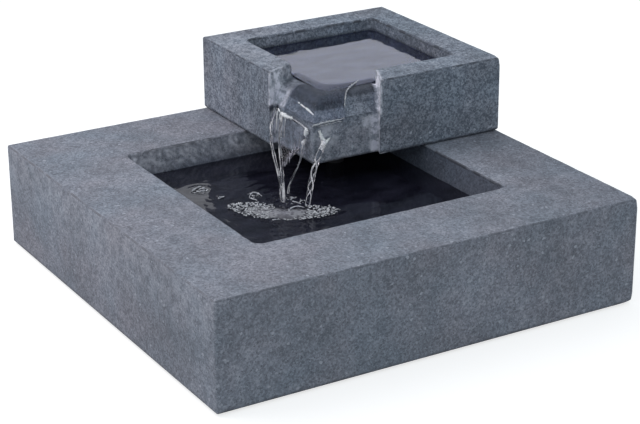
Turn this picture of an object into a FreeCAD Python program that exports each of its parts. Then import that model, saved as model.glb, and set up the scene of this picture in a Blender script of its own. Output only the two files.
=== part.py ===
"""Two-tier stone fountain: a square basin, a square bowl on its back right corner, and a pump.

The origin is the middle of the basin's underside, on the table. +Z is up, the wide front faces -Y,
and the bowl stands towards +X and +Y, with its spill notch over the middle of the basin.
"""
import FreeCAD, Part
import math
import os
from types import SimpleNamespace

import Sketcher

Vector = FreeCAD.Vector
Rotation = FreeCAD.Rotation

# Driving dimensions in millimetres, angles in degrees: name, value, meaning
DIMENSIONS = [
    ("basin_side", 400, "width and depth of the basin"),
    ("basin_height", 94, "height of the basin's stone"),
    ("basin_rim", 80, "width of the basin's rim"),
    ("basin_well_depth", 74, "depth of the basin's well"),
    ("basin_draft", 10, "lean of the basin's inner walls"),
    ("well_corner", 8, "radius of the upright corners of both wells"),
    ("well_fillet", 6, "radius along the floors of both wells"),
    ("stone_edge", 2, "rounding of the stone's edges"),
    ("groove_width", 12, "width of the cable groove in the back rim"),
    ("groove_depth", 10, "depth of the cable groove"),
    ("foot_diameter", 24, "diameter of a rubber foot"),
    ("foot_height", 2, "height of a rubber foot"),
    ("foot_inset", 28, "distance of a foot's middle from the basin's faces"),
    ("bowl_side", 200, "width and depth of the bowl"),
    ("bowl_height", 69, "height of the bowl's stone"),
    ("bowl_rim", 30, "width of the bowl's rim"),
    ("bowl_well_depth", 51, "depth of the bowl's well"),
    ("bowl_draft", 12, "lean of the bowl's inner walls"),
    ("pad_thickness", 1, "thickness of the pads under the bowl"),
    ("pad_diameter", 14, "diameter of the pads under the bowl"),
    ("pad_inset", 15, "distance of a pad's middle from the edges of the rim"),
    ("spill_length", 71, "length of the spill notch along each face"),
    ("spill_flare", 13, "widening of the notch across the rim"),
    ("spill_recess", 8, "depth by which the notched corner stands back from the faces"),
    ("spill_drop", 31.5, "depth of the spill lip below the bowl's rim"),
    ("crest_drop", 13, "depth of the weir's crest below the bowl's rim"),
    ("apron_run", 7, "depth of the sloping apron inside the lip"),
    ("apron_rise", 8.5, "rise of the sloping apron"),
    ("inlet_offset", 62, "distance of the inlet from the bowl's near faces"),
    ("hole_clearance", 0.5, "gap round the fitting's shank in the stone"),
    ("shank_diameter", 16, "diameter of the inlet fitting's shank"),
    ("shank_stickout", 2, "length of shank below the lock nut"),
    ("flange_diameter", 26, "diameter of the inlet fitting's flange"),
    ("flange_thickness", 3, "thickness of the inlet fitting's flange"),
    ("gasket_thickness", 1.5, "thickness of the inlet gasket"),
    ("inlet_bore", 9, "bore of the inlet fitting and of the pump's spigot"),
    ("nut_width", 27, "width of the lock nut across its corners"),
    ("nut_height", 6, "height of the lock nut"),
    ("push_fit", 0.05, "gap all round in push fits and bearings"),
    ("barb_depth", 0.6, "depth of the barbs on the fitting's tail"),
    ("hose_bore", 13, "inner diameter of the riser hose"),
    ("hose_wall", 1.5, "wall of the riser hose"),
    ("hose_gap", 3, "free length in the hose between spigot and tail"),
    ("hose_end_gap", 0.5, "gap between the hose's ends and what they butt on"),
    ("spigot_height", 8, "height of the outlet spigot above the pump"),
    ("outlet_overlap", 1.5, "depth by which the outlet's bore runs into the chamber"),
    ("cup_height", 5, "height of a suction cup"),
    ("cup_diameter", 14, "diameter of a suction cup"),
    ("cup_neck", 6, "diameter of a suction cup at its top"),
    ("cup_lip", 1, "thickness of a suction cup's lip"),
    ("cup_inset", 8, "distance of a cup's middle from the casing's edges"),
    ("pump_width", 40, "width of the pump"),
    ("pump_height", 34, "height of the pump"),
    ("pump_corner", 4, "radius of the pump's long edges"),
    ("pump_wall_gap", 4.45, "gap between the pump's back and the foot of the well's back wall"),
    ("motor_length", 34, "length of the motor casing"),
    ("housing_wall", 2, "wall of the motor casing"),
    ("chamber_length", 13, "length of the impeller cover"),
    ("chamber_diameter", 24, "diameter of the pump chamber"),
    ("chamber_front", 3.5, "thickness of the chamber's front wall"),
    ("eye_hole", 5, "diameter of the inlet holes in the chamber's front"),
    ("eye_radius", 6, "radius of the circle of those holes"),
    ("seal_section", 1.6, "thickness of the O-ring"),
    ("seal_inset", 0.6, "distance of the O-ring from the chamber's edge"),
    ("rotor_gap", 0.6, "gap between magnet and rotor well"),
    ("rotor_well_depth", 16, "depth of the rotor well"),
    ("rotor_well_wall", 1.2, "wall of the rotor well"),
    ("magnet_diameter", 13.8, "diameter of the rotor magnet"),
    ("magnet_length", 13, "length of the rotor magnet"),
    ("rotor_float", 0.7, "axial play of the rotor"),
    ("sleeve_diameter", 6, "diameter of the impeller's sleeve"),
    ("hub_diameter", 8, "diameter of the impeller's hub"),
    ("shaft_diameter", 2.5, "diameter of the shaft"),
    ("bush_diameter", 5, "diameter of the shaft bushes"),
    ("bush_length", 2, "length of the shaft bushes"),
    ("bush_end", 0.4, "thickness of the closed end of a bush"),
    ("impeller_diameter", 20, "diameter over the impeller's vanes"),
    ("impeller_plate", 1.5, "thickness of the impeller's back plate"),
    ("vane_thickness", 1.2, "thickness of a vane"),
    ("vane_count", 6, "number of vanes"),
    ("core_gap", 0.3, "gap between the core and the rotor well"),
    ("core_leg", 5, "depth of the core's yoke"),
    ("core_stack", 14, "height of the lamination stack"),
    ("core_cover", 2, "resin behind the core's yoke"),
    ("coil_thickness", 2.6, "thickness of a winding"),
    ("coil_length", 8, "length of a winding"),
    ("coil_gap", 0.2, "gap between a winding and the core"),
    ("coil_cover", 1.2, "resin between a winding and the casing's side"),
    ("gland_diameter", 6.6, "diameter of the cable gland"),
    ("gland_bore", 4.6, "bore of the cable gland"),
    ("gland_length", 10, "length of the cable gland"),
    ("gland_seat", 4, "length of the gland set in the resin"),
    ("intake_reach", 17.5, "length of the intake cover ahead of the impeller cover"),
    ("cover_wall", 1.8, "wall of the intake cover"),
    ("cover_gap", 0.2, "gap between the intake cover and what it slides over"),
    ("spigot_slot_gap", 0.3, "gap between the spigot and its slot in the cover"),
    ("slot_length", 10, "length of a strainer slot"),
    ("slot_height", 2, "height of a strainer slot"),
    ("slot_pitch", 4.4, "distance from strainer slot to strainer slot"),
    ("slot_count", 4, "number of strainer slots on each side"),
    ("dial_diameter", 20, "diameter of the flow dial"),
    ("dial_thickness", 2, "thickness of the flow dial"),
    ("dial_gap", 0.3, "gap between the dial and the cover"),
    ("dial_stub", 5, "diameter of the dial's stub"),
    ("dial_head", 7.4, "diameter of the snap head on the dial's stub"),
    ("dial_head_length", 1.2, "length of the snap head"),
    ("dial_hole", 4.6, "diameter of the throttle holes"),
    ("dial_radius", 6.5, "radius of the circle of throttle holes"),
    ("dial_hole_count", 4, "number of throttle holes"),
    ("grip_width", 2.6, "width of the dial's grip bar"),
    ("grip_height", 3, "height of the dial's grip bar"),
    ("sponge_gap", 0.4, "gap round the filter sponge"),
    ("sponge_length", 13, "length of the filter sponge"),
    ("cut_margin", 2, "length by which a cut runs past the faces that it opens"),
]


class Size:
    """A length or angle with its number and the sheet formula that it is bound by."""

    def __init__(self, number, text):
        self.number = number
        self.text = text

    def combine(self, other, sign, number, swap=False):
        words = [self.text, other.text if isinstance(other, Size) else repr(other)]
        if swap:
            words.reverse()
        return Size(number, f"({words[0]} {sign} {words[1]})")

    def __add__(self, other):
        return self.combine(other, "+", self.number + plain(other))

    def __sub__(self, other):
        return self.combine(other, "-", self.number - plain(other))

    def __rsub__(self, other):
        return self.combine(other, "-", plain(other) - self.number, swap=True)

    def __mul__(self, other):
        return self.combine(other, "*", self.number * plain(other))

    def __truediv__(self, other):
        return self.combine(other, "/", self.number / plain(other))

    def __neg__(self):
        return Size(-self.number, f"(-{self.text})")


def plain(value):
    """The number of a size, or the number itself."""
    return value.number if isinstance(value, Size) else value


def tangent(angle):
    return Size(math.tan(math.radians(angle.number)), f"tan({angle.text} * 1 deg)")


doc = FreeCAD.newDocument("fountain")
sheet = doc.addObject("Spreadsheet::Sheet", "Dimensions")
for row, (alias, value, meaning) in enumerate(DIMENSIONS, start=1):
    sheet.set(f"A{row}", meaning)
    sheet.set(f"B{row}", str(value))
    sheet.setAlias(f"B{row}", alias)
doc.recompute()
d = SimpleNamespace(**{alias: Size(float(sheet.get(alias)), f"Dimensions.{alias}")
                       for alias, value, meaning in DIMENSIONS})

# Places that several pieces share
half_side = d.basin_side / 2
basin_top = d.foot_height + d.basin_height
well_floor = basin_top - d.basin_well_depth
well_half = half_side - d.basin_rim
bowl_near = half_side - d.bowl_side
bowl_underside = basin_top + d.pad_thickness
bowl_top = bowl_underside + d.bowl_height
bowl_floor = bowl_top - d.bowl_well_depth
inlet = bowl_near + d.inlet_offset
nut_underside = bowl_underside - d.nut_height
shank_underside = nut_underside - d.shank_stickout
rotor_well_diameter = d.magnet_diameter + d.rotor_gap * 2
rotor_tube_diameter = rotor_well_diameter + d.rotor_well_wall * 2
pump_axis = well_floor + d.cup_height + d.pump_height / 2
pump_top = well_floor + d.cup_height + d.pump_height
neck_diameter = d.chamber_length - d.push_fit * 2
spigot_diameter = d.hose_bore - d.push_fit * 2

# Stations along the pump's axis, from the middle of the outlet spigot towards +Y
motor_front = d.chamber_length / 2
motor_back = motor_front + d.motor_length
chamber_floor = d.chamber_front - d.chamber_length / 2
cover_front = -(d.chamber_length / 2 + d.intake_reach)
rotor_well_end = motor_front + d.rotor_well_depth
magnet_front = motor_front + d.rotor_float
magnet_back = magnet_front + d.magnet_length
hub_front = chamber_floor + d.rotor_float
rear_bush_end = rotor_well_end + d.bush_length
front_bush_end = chamber_floor - d.bush_length
block_width = d.pump_width - (d.cover_wall + d.cover_gap) * 2
block_height = d.pump_height - (d.cover_wall + d.cover_gap) * 2
well_foot = well_half - tangent(d.basin_draft) * d.basin_well_depth
pump_y = well_foot - d.pump_wall_gap - motor_back
PUMP = (inlet, pump_y, pump_axis)

nodes = {}


def bind(target, prop, value):
    """Sets one property, tied to the sheet where the value is a size."""
    if isinstance(value, Size):
        target.setExpression(prop, value.text)
    else:
        names = prop.split(".")
        if len(names) == 1:
            setattr(target, prop, value)
        else:
            target.setExpression(prop, repr(value))


def place(target, position, rotation=None):
    """Puts an object at a position, turned by a rotation."""
    target.Placement = FreeCAD.Placement(Vector(*[plain(p) for p in position]), rotation or Rotation())
    for axis, value in zip("xyz", position):
        bind(target, f"Placement.Base.{axis}", value)
    return target


def keep(label, item):
    """Names a finished piece, which becomes a node of its own."""
    item.Label = label
    nodes[label] = item
    return item


ALONG_Z = Rotation()
ALONG_Y = Rotation(Vector(1, 0, 0), -90)


def cylinder(name, diameter, length, position, rotation=ALONG_Z):
    item = doc.addObject("Part::Cylinder", name)
    bind(item, "Radius", diameter / 2)
    bind(item, "Height", length)
    return place(item, position, rotation)


def box(name, low, high):
    """A box between two corners."""
    item = doc.addObject("Part::Box", name)
    for prop, start, end in zip(("Length", "Width", "Height"), low, high):
        bind(item, prop, end - start)
    return place(item, low)


def shifted(local):
    """A place given from the middle of the pump, as a place of the whole fountain."""
    return [here + there for here, there in zip(PUMP, local)]


def cut(name, base, tool):
    item = doc.addObject("Part::Cut", name)
    item.Base = base
    item.Tool = tool
    return item


def tube(name, outer, bore, length, position, rotation=ALONG_Z):
    return cut(name, cylinder(name + "_outside", outer, length, position, rotation),
               cylinder(name + "_bore", bore, length, position, rotation))


def bent_rod(name, diameter, stations):
    """A solid through level circles of one diameter, with its middle at each station."""
    rings = []
    for number, position in enumerate(stations):
        ring = doc.addObject("Part::Circle", f"{name}_ring_{number}")
        bind(ring, "Radius", diameter / 2)
        rings.append(place(ring, position))
    item = doc.addObject("Part::Loft", name)
    item.Sections = rings
    item.Solid = True
    item.Ruled = True
    return item


def compound(name, items):
    item = doc.addObject("Part::Compound", name)
    item.Links = items
    return item


def new_body(name, position=None):
    body = doc.addObject("PartDesign::Body", name)
    if position:
        place(body, position)
    return body


def new_sketch(body, name, role, offset=0):
    """A sketch on one of the body's own planes, moved along the plane's normal."""
    sketch = body.newObject("Sketcher::SketchObject", name)
    sketch.AttachmentSupport = [(next(f for f in body.Origin.OriginFeatures if f.Role == role), "")]
    sketch.MapMode = "FlatFace"
    bind(sketch, "AttachmentOffset.Base.z", offset)
    return sketch


def fix_point(sketch, geometry, point, position):
    """Holds one point of a sketch at its distances from the sketch's origin."""
    for kind, value in zip(("DistanceX", "DistanceY"), position):
        index = sketch.addConstraint(
            Sketcher.Constraint(kind, -1, 1, geometry, point, plain(value)))
        if isinstance(value, Size):
            bind(sketch, f"Constraints[{index}]", value)


def outline(sketch, corners, arcs=None):
    """A closed outline through the corners; arcs maps a side's number to the centre of its arc."""
    arcs = arcs or {}
    points = [Vector(plain(x), plain(y), 0) for x, y in corners]
    sides = []
    ends = []
    for number, start in enumerate(points):
        end = points[(number + 1) % len(points)]
        if number in arcs:
            centre = Vector(plain(arcs[number][0]), plain(arcs[number][1]), 0)
            from_x, to_x = [math.atan2(p.y - centre.y, p.x - centre.x) for p in (start, end)]
            turns_left = (to_x - from_x) % (2 * math.pi) < math.pi
            ends.append((1, 2) if turns_left else (2, 1))
            ring = Part.Circle(centre, Vector(0, 0, 1), (start - centre).Length)
            angles = (from_x, to_x) if turns_left else (to_x, from_x)
            sides.append(sketch.addGeometry(Part.ArcOfCircle(ring, *angles), False))
        else:
            ends.append((1, 2))
            sides.append(sketch.addGeometry(Part.LineSegment(start, end), False))
    for number, side in enumerate(sides):
        after = (number + 1) % len(sides)
        sketch.addConstraint(
            Sketcher.Constraint("Coincident", side, ends[number][1], sides[after], ends[after][0]))
        fix_point(sketch, side, ends[number][0], corners[number])
    for number, centre in arcs.items():
        index = sketch.addConstraint(
            Sketcher.Constraint("DistanceX", -1, 1, sides[number], 3, plain(centre[0])))
        bind(sketch, f"Constraints[{index}]", centre[0])


def rectangle(sketch, low, high):
    outline(sketch, [(low[0], low[1]), (high[0], low[1]), (high[0], high[1]), (low[0], high[1])])


def centred_rectangle(sketch, width, height):
    rectangle(sketch, (-(width / 2), -(height / 2)), (width / 2, height / 2))


def circle(sketch, diameter, centre=(0, 0)):
    number = sketch.addGeometry(
        Part.Circle(Vector(plain(centre[0]), plain(centre[1]), 0), Vector(0, 0, 1),
                    diameter.number / 2), False)
    fix_point(sketch, number, 3, centre)
    index = sketch.addConstraint(Sketcher.Constraint("Diameter", number, diameter.number))
    bind(sketch, f"Constraints[{index}]", diameter)


def feature(body, kind, name, sketch, **settings):
    """Adds a feature on a sketch and makes sure that it adds to the solid or cuts it."""
    doc.recompute()
    before = body.Shape.Volume if body.Tip else 0
    item = body.newObject("PartDesign::" + kind, name)
    item.Profile = sketch
    for prop, value in settings.items():
        bind(item, prop, value)
    doc.recompute()
    grows = kind in ("Pad", "Revolution")
    if (body.Shape.Volume > before) != grows:
        raise RuntimeError(f"{name} changes nothing in {body.Name}")
    return item


def spun(body, name, profile):
    """A solid of revolution about the body's own Z axis, from points of radius and height."""
    sketch = new_sketch(body, name, "XZ_Plane")
    outline(sketch, profile)
    return feature(body, "Revolution", name + "_turn", sketch, Angle=360,
                   ReferenceAxis=(sketch, ["V_Axis"]))


def spun_along_y(body, name, profile):
    """A solid of revolution about the body's own Y axis, from points of radius and station."""
    sketch = new_sketch(body, name, "XY_Plane")
    outline(sketch, profile)
    return feature(body, "Revolution", name + "_turn", sketch, Angle=360,
                   ReferenceAxis=(sketch, ["V_Axis"]))


def ring_pattern(body, name, original, sketch, count):
    """Repeats a feature round the normal of its sketch."""
    pattern = body.newObject("PartDesign::PolarPattern", name)
    pattern.Originals = [original]
    pattern.Axis = (sketch, ["N_Axis"])
    pattern.Angle = 360
    bind(pattern, "Occurrences", count)
    body.Tip = pattern
    doc.recompute()


def round_edges(body, name, radius, wanted):
    """Rounds the edges that the test picks from their lowest and highest corners."""
    doc.recompute()
    base = body.Tip
    names = [f"Edge{number}" for number, edge in enumerate(base.Shape.Edges, start=1)
             if wanted(edge.BoundBox)]
    if not names:
        raise RuntimeError(f"{name} finds no edge on {body.Name}")
    item = body.newObject("PartDesign::Fillet", name)
    item.Base = (base, names)
    bind(item, "Radius", radius)
    doc.recompute()


def near(a, b):
    return abs(plain(a) - plain(b)) < 1e-4


def stone_block(name, low, high, bottom, top, rim, depth, draft):
    """A square stone block with a well whose walls lean outwards and whose corners are rounded."""
    body = new_body(name)
    footprint = new_sketch(body, name + "_footprint", "XY_Plane", bottom)
    rectangle(footprint, (low, low), (high, high))
    feature(body, "Pad", name + "_block", footprint, Length=top - bottom)
    mouth = new_sketch(body, name + "_mouth", "XY_Plane", top)
    rectangle(mouth, (low + rim, low + rim), (high - rim, high - rim))
    feature(body, "Pocket", name + "_well", mouth, Length=depth, TaperAngle=-draft)
    floor = top - depth
    round_edges(body, name + "_well_corners", d.well_corner,
                lambda b: near(b.ZMin, floor) and near(b.ZMax, top))
    round_edges(body, name + "_well_floor", d.well_fillet,
                lambda b: near(b.ZMin, floor) and near(b.ZMax, floor))
    round_edges(body, name + "_edges", d.stone_edge,
                lambda b: near(b.ZMin, top) or near(b.ZMax, bottom)
                or (near(b.ZMin, bottom) and near(b.ZMax, top)))
    return body


def make_lower_basin():
    body = stone_block("basin_stone", -half_side, half_side, d.foot_height, basin_top,
                       d.basin_rim, d.basin_well_depth, d.basin_draft)
    groove = new_sketch(body, "cable_groove", "XY_Plane", basin_top)
    wall_reach = tangent(d.basin_draft) * d.groove_depth + d.cut_margin
    rectangle(groove, (inlet - d.groove_width / 2, well_half - wall_reach),
              (inlet + d.groove_width / 2, half_side + d.cut_margin))
    feature(body, "Pocket", "cable_groove_cut", groove, Length=d.groove_depth)
    keep("lower_basin", body)


def make_basin_feet():
    reach = half_side - d.foot_inset
    feet = [cylinder(f"foot_{x_side}{y_side}", d.foot_diameter, d.foot_height,
                     (reach * x_side, reach * y_side, 0))
            for x_side in (-1, 1) for y_side in (-1, 1)]
    keep("basin_feet", compound("basin_foot_set", feet))


def spill_prism(name, rotation, position, reverse):
    """The room cut from one face: a flat recess, a sloping apron, a rounded weir and a level crest."""
    sketch = doc.addObject("Sketcher::SketchObject", name + "_profile")
    place(sketch, position, rotation)
    lip = bowl_top - d.spill_drop
    crest = bowl_top - d.crest_drop
    round_start = lip + d.apron_rise
    weir_radius = crest - round_start
    outside = bowl_near - d.cut_margin
    face = bowl_near + d.spill_recess
    weir = face + d.apron_run
    inside = bowl_near + d.spill_length
    cellar = bowl_underside - d.cut_margin
    roof = bowl_top + d.cut_margin
    corners = [(outside, cellar), (face, cellar), (face, lip), (weir, round_start),
               (weir + weir_radius, crest), (inside, crest), (inside, roof), (outside, roof)]
    outline(sketch, corners, {3: (weir + weir_radius, round_start)})
    prism = doc.addObject("Part::Extrusion", name)
    prism.Base = sketch
    prism.DirMode = "Normal"
    prism.Reversed = reverse
    prism.Solid = True
    bind(prism, "LengthFwd", d.spill_length + d.spill_flare + d.cut_margin)
    return prism


def make_upper_bowl():
    body = stone_block("bowl_stone", bowl_near, half_side, bowl_underside, bowl_top,
                       d.bowl_rim, d.bowl_well_depth, d.bowl_draft)
    hole = new_sketch(body, "inlet_hole", "XY_Plane", bowl_floor)
    circle(hole, d.shank_diameter + d.hole_clearance * 2, (inlet, inlet))
    feature(body, "Pocket", "inlet_hole_cut", hole, Length=bowl_floor - bowl_underside)

    start = bowl_near - d.cut_margin
    left = spill_prism("spill_left", Rotation(Vector(1, 0, 0), 90), (0, start, 0), True)
    front = spill_prism("spill_front", Rotation(Vector(1, 1, 1), 120), (start, 0, 0), False)
    room = doc.addObject("Part::MultiFuse", "spill_room")
    room.Shapes = [left, front]

    plan = doc.addObject("Sketcher::SketchObject", "spill_plan")
    place(plan, (0, 0, bowl_underside - d.cut_margin))
    end = bowl_near + d.spill_length
    wall_reach = d.bowl_rim + tangent(d.bowl_draft) * d.spill_drop
    inside = bowl_near + wall_reach
    flared = end + d.spill_flare / d.bowl_rim * wall_reach
    outline(plan, [(start, start), (end, start), (end, bowl_near), (flared, inside),
                   (inside, flared), (bowl_near, end), (start, end)])
    flare = doc.addObject("Part::Extrusion", "spill_flare")
    flare.Base = plan
    flare.DirMode = "Normal"
    flare.Solid = True
    bind(flare, "LengthFwd", d.bowl_height + d.cut_margin * 2)

    notch = doc.addObject("Part::Common", "spill_notch")
    notch.Base = room
    notch.Tool = flare
    keep("upper_bowl", cut("notched_bowl", body, notch))


def make_bowl_pads():
    on_rim = half_side - d.basin_rim + d.pad_inset
    near_face = bowl_near + d.pad_inset
    far_face = half_side - d.pad_inset
    spots = [(on_rim, near_face), (near_face, on_rim), (far_face, far_face)]
    pads = [cylinder(f"bowl_pad_{number}", d.pad_diameter, d.pad_thickness, (x, y, basin_top))
            for number, (x, y) in enumerate(spots, start=1)]
    keep("bowl_pads", compound("bowl_pad_set", pads))


def make_inlet():
    """Bulkhead fitting, gasket, lock nut and the hose that joins it to the pump."""
    body = new_body("inlet_fitting_body", (inlet, inlet, bowl_floor))
    bore = d.inlet_bore / 2
    barb = d.hose_bore / 2 - d.push_fit
    seat = d.gasket_thickness
    shank_end = shank_underside - bowl_floor
    tail_end = pump_top + d.spigot_height + d.hose_gap - bowl_floor
    barb_count = 3
    pitch = (shank_end - tail_end) / barb_count
    profile = [(bore, seat + d.flange_thickness), (d.flange_diameter / 2, seat + d.flange_thickness),
               (d.flange_diameter / 2, seat), (d.shank_diameter / 2, seat),
               (d.shank_diameter / 2, shank_end)]
    for number in range(barb_count):
        profile.append((barb, shank_end - pitch * number))
        profile.append((barb - d.barb_depth, shank_end - pitch * (number + 1)))
    profile.append((bore, tail_end))
    spun(body, "inlet_profile", profile)
    keep("inlet_fitting", body)

    threaded = d.shank_diameter + d.push_fit * 2
    keep("inlet_gasket", tube("gasket_ring", d.flange_diameter, threaded, d.gasket_thickness,
                              (inlet, inlet, bowl_floor)))
    nut = doc.addObject("Part::Prism", "nut_blank")
    nut.Polygon = 6
    bind(nut, "Circumradius", d.nut_width / 2)
    bind(nut, "Height", d.nut_height)
    place(nut, (inlet, inlet, nut_underside))
    keep("inlet_lock_nut", cut("nut_threaded", nut, cylinder(
        "nut_bore", threaded, d.nut_height, (inlet, inlet, nut_underside))))

    spigot_end = pump_top + d.spigot_height
    stations = [(inlet, pump_y, pump_top + d.hose_end_gap), (inlet, pump_y, spigot_end),
                (inlet, inlet, spigot_end + d.hose_gap),
                (inlet, inlet, shank_underside - d.hose_end_gap)]
    keep("riser_hose", cut("hose_tube", bent_rod("hose_outside", d.hose_bore + d.hose_wall * 2, stations),
                           bent_rod("hose_inside", d.hose_bore, stations)))


def pump_block(name, front, back, width, height):
    """A body in the pump's place with one block, whose section is across the pump's axis."""
    body = new_body(name, PUMP)
    section = new_sketch(body, name + "_section", "XZ_Plane", -front)
    centred_rectangle(section, width, height)
    feature(body, "Pad", name + "_block", section, Length=back - front, Reversed=True)
    return body


def bore_from(body, name, station, diameter, depth, forward, centre=(0, 0)):
    """Cuts a round hole from a station of the pump's axis, forward towards +Y or back."""
    sketch = new_sketch(body, name, "XZ_Plane", -station)
    circle(sketch, diameter, centre)
    return feature(body, "Pocket", name + "_cut", sketch, Length=depth, Reversed=not forward), sketch


def round_long_edges(body, name, front, back):
    round_edges(body, name, d.pump_corner, lambda b: near(b.YLength, back - front))


def make_pump_housing():
    """Motor casing, open at the back, with the rotor's well standing in it."""
    body = pump_block("motor_casing", motor_front, motor_back, d.pump_width, d.pump_height)
    round_long_edges(body, "casing_edges", motor_front, motor_back)
    room = new_sketch(body, "winding_room", "XZ_Plane", -motor_back)
    centred_rectangle(room, d.pump_width - d.housing_wall * 2, d.pump_height - d.housing_wall * 2)
    feature(body, "Pocket", "winding_room_cut", room, Length=d.motor_length - d.housing_wall,
            Reversed=True)
    for name, diameter, length in (
            ("rotor_tube", rotor_tube_diameter, d.rotor_well_depth + d.rotor_well_wall),
            ("bush_seat", d.bush_diameter + d.rotor_well_wall * 2,
             d.rotor_well_depth + d.bush_length + d.rotor_well_wall)):
        sketch = new_sketch(body, name, "XZ_Plane", -motor_front)
        circle(sketch, diameter)
        feature(body, "Pad", name + "_wall", sketch, Length=length, Reversed=True)
    bore_from(body, "rotor_well", motor_front, rotor_well_diameter, d.rotor_well_depth, True)
    bore_from(body, "rear_bush_seat", motor_front, d.bush_diameter + d.push_fit * 2,
              d.rotor_well_depth + d.bush_length, True)
    groove = new_sketch(body, "seal_groove", "XZ_Plane", -motor_front)
    inner = d.chamber_diameter + d.seal_inset * 2
    circle(groove, inner)
    circle(groove, inner + (d.seal_section + d.push_fit * 2) * 2)
    feature(body, "Pocket", "seal_groove_cut", groove, Length=d.seal_section + d.push_fit,
            Reversed=False)
    keep("pump_housing", body)


def make_windings():
    """Lamination stack, two coils, the resin round them and the cable gland set in it."""
    leg_inner = rotor_tube_diameter / 2 + d.core_gap
    coil_side = d.pump_width / 2 - d.housing_wall - d.coil_cover
    leg_outer = coil_side - d.coil_thickness - d.coil_gap
    front = motor_front + d.housing_wall + d.core_gap
    back = motor_back - d.core_cover
    core = new_body("core_body", PUMP)
    section = new_sketch(core, "core_section", "XY_Plane", -(d.core_stack / 2))
    outline(section, [(-leg_outer, front), (-leg_inner, front), (-leg_inner, back - d.core_leg),
                      (leg_inner, back - d.core_leg), (leg_inner, front), (leg_outer, front),
                      (leg_outer, back), (-leg_outer, back)])
    feature(core, "Pad", "core_pad", section, Length=d.core_stack)
    keep("stator_core", core)

    coil_back = back - d.core_leg - d.coil_gap
    coil_front = coil_back - d.coil_length
    hole_z = d.core_stack / 2 + d.coil_gap
    coil_z = hole_z + d.coil_thickness
    coils = []
    coil_blocks = []
    for side, name in ((-1, "left_coil"), (1, "right_coil")):
        inner_x = (leg_inner - d.coil_gap, leg_outer + d.coil_gap)
        outer_x = (inner_x[0] - d.coil_thickness, inner_x[1] + d.coil_thickness)
        shapes = []
        for part, spans, height in (("winding", outer_x, coil_z), ("window", inner_x, hole_z)):
            low_x, high_x = sorted((spans[0] * side, spans[1] * side), key=plain)
            shapes.append(box(f"{name}_{part}", shifted((low_x, coil_front, -height)),
                              shifted((high_x, coil_back, height))))
        coil_blocks.append(shapes[0])
        coils.append(cut(name, *shapes))
    keep("stator_coils", compound("coil_pair", coils))

    gland_z = d.pump_height / 2 - d.housing_wall - d.gland_diameter / 2 - d.coil_gap
    gland_at = shifted((0, motor_back - d.gland_seat, gland_z))
    gland_body = cylinder("gland_body", d.gland_diameter, d.gland_length, gland_at, ALONG_Y)
    keep("cable_gland", cut("gland_sleeve", gland_body, cylinder(
        "gland_bore", d.gland_bore, d.gland_length, gland_at, ALONG_Y)))

    half_width = d.pump_width / 2 - d.housing_wall
    half_height = d.pump_height / 2 - d.housing_wall
    room = box("resin_fill", shifted((-half_width, motor_front + d.housing_wall, -half_height)),
               shifted((half_width, motor_back, half_height)))
    filled = doc.addObject("Part::MultiFuse", "resin_inserts")
    filled.Shapes = [core, *coil_blocks, gland_body,
                     cylinder("tube_insert", rotor_tube_diameter,
                              d.rotor_well_depth + d.rotor_well_wall,
                              shifted((0, motor_front, 0)), ALONG_Y),
                     cylinder("seat_insert", d.bush_diameter + d.rotor_well_wall * 2,
                              d.rotor_well_depth + d.bush_length + d.rotor_well_wall,
                              shifted((0, motor_front, 0)), ALONG_Y)]
    keep("potting_resin", cut("resin_round_inserts", room, filled))


def make_housing_seal():
    ring = doc.addObject("Part::Torus", "seal_ring")
    bind(ring, "Radius1", d.chamber_diameter / 2 + d.seal_inset + d.push_fit + d.seal_section / 2)
    bind(ring, "Radius2", d.seal_section / 2)
    place(ring, shifted((0, motor_front + d.seal_section / 2 + d.push_fit / 2, 0)), ALONG_Y)
    keep("housing_seal", ring)


def make_impeller_cover():
    """Pump chamber with four inlet holes round the front bush and the outlet spigot on top."""
    body = pump_block("chamber", -motor_front, motor_front, block_width, block_height)
    casing_top = d.pump_height / 2
    spigot_top = casing_top + d.spigot_height
    neck = new_sketch(body, "spigot_neck", "XY_Plane", 0)
    circle(neck, neck_diameter)
    feature(body, "Pad", "spigot_neck_pad", neck, Length=casing_top)
    spigot = new_sketch(body, "spigot", "XY_Plane", casing_top)
    circle(spigot, spigot_diameter)
    feature(body, "Pad", "spigot_pad", spigot, Length=d.spigot_height)
    outlet = new_sketch(body, "outlet", "XY_Plane", spigot_top)
    circle(outlet, d.inlet_bore)
    feature(body, "Pocket", "outlet_cut", outlet,
            Length=spigot_top - d.chamber_diameter / 2 + d.outlet_overlap)
    depth = d.chamber_length - d.chamber_front
    bore_from(body, "chamber_room", motor_front, d.chamber_diameter, depth, False)
    bore_from(body, "front_bush_seat", motor_front, d.bush_diameter + d.push_fit * 2,
              depth + d.bush_length, False)
    hole, sketch = bore_from(body, "eye", -motor_front, d.eye_hole, d.chamber_front, True,
                             (d.eye_radius, 0))
    ring_pattern(body, "eye_ring", hole, sketch, d.dial_hole_count)
    keep("impeller_cover", body)


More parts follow.
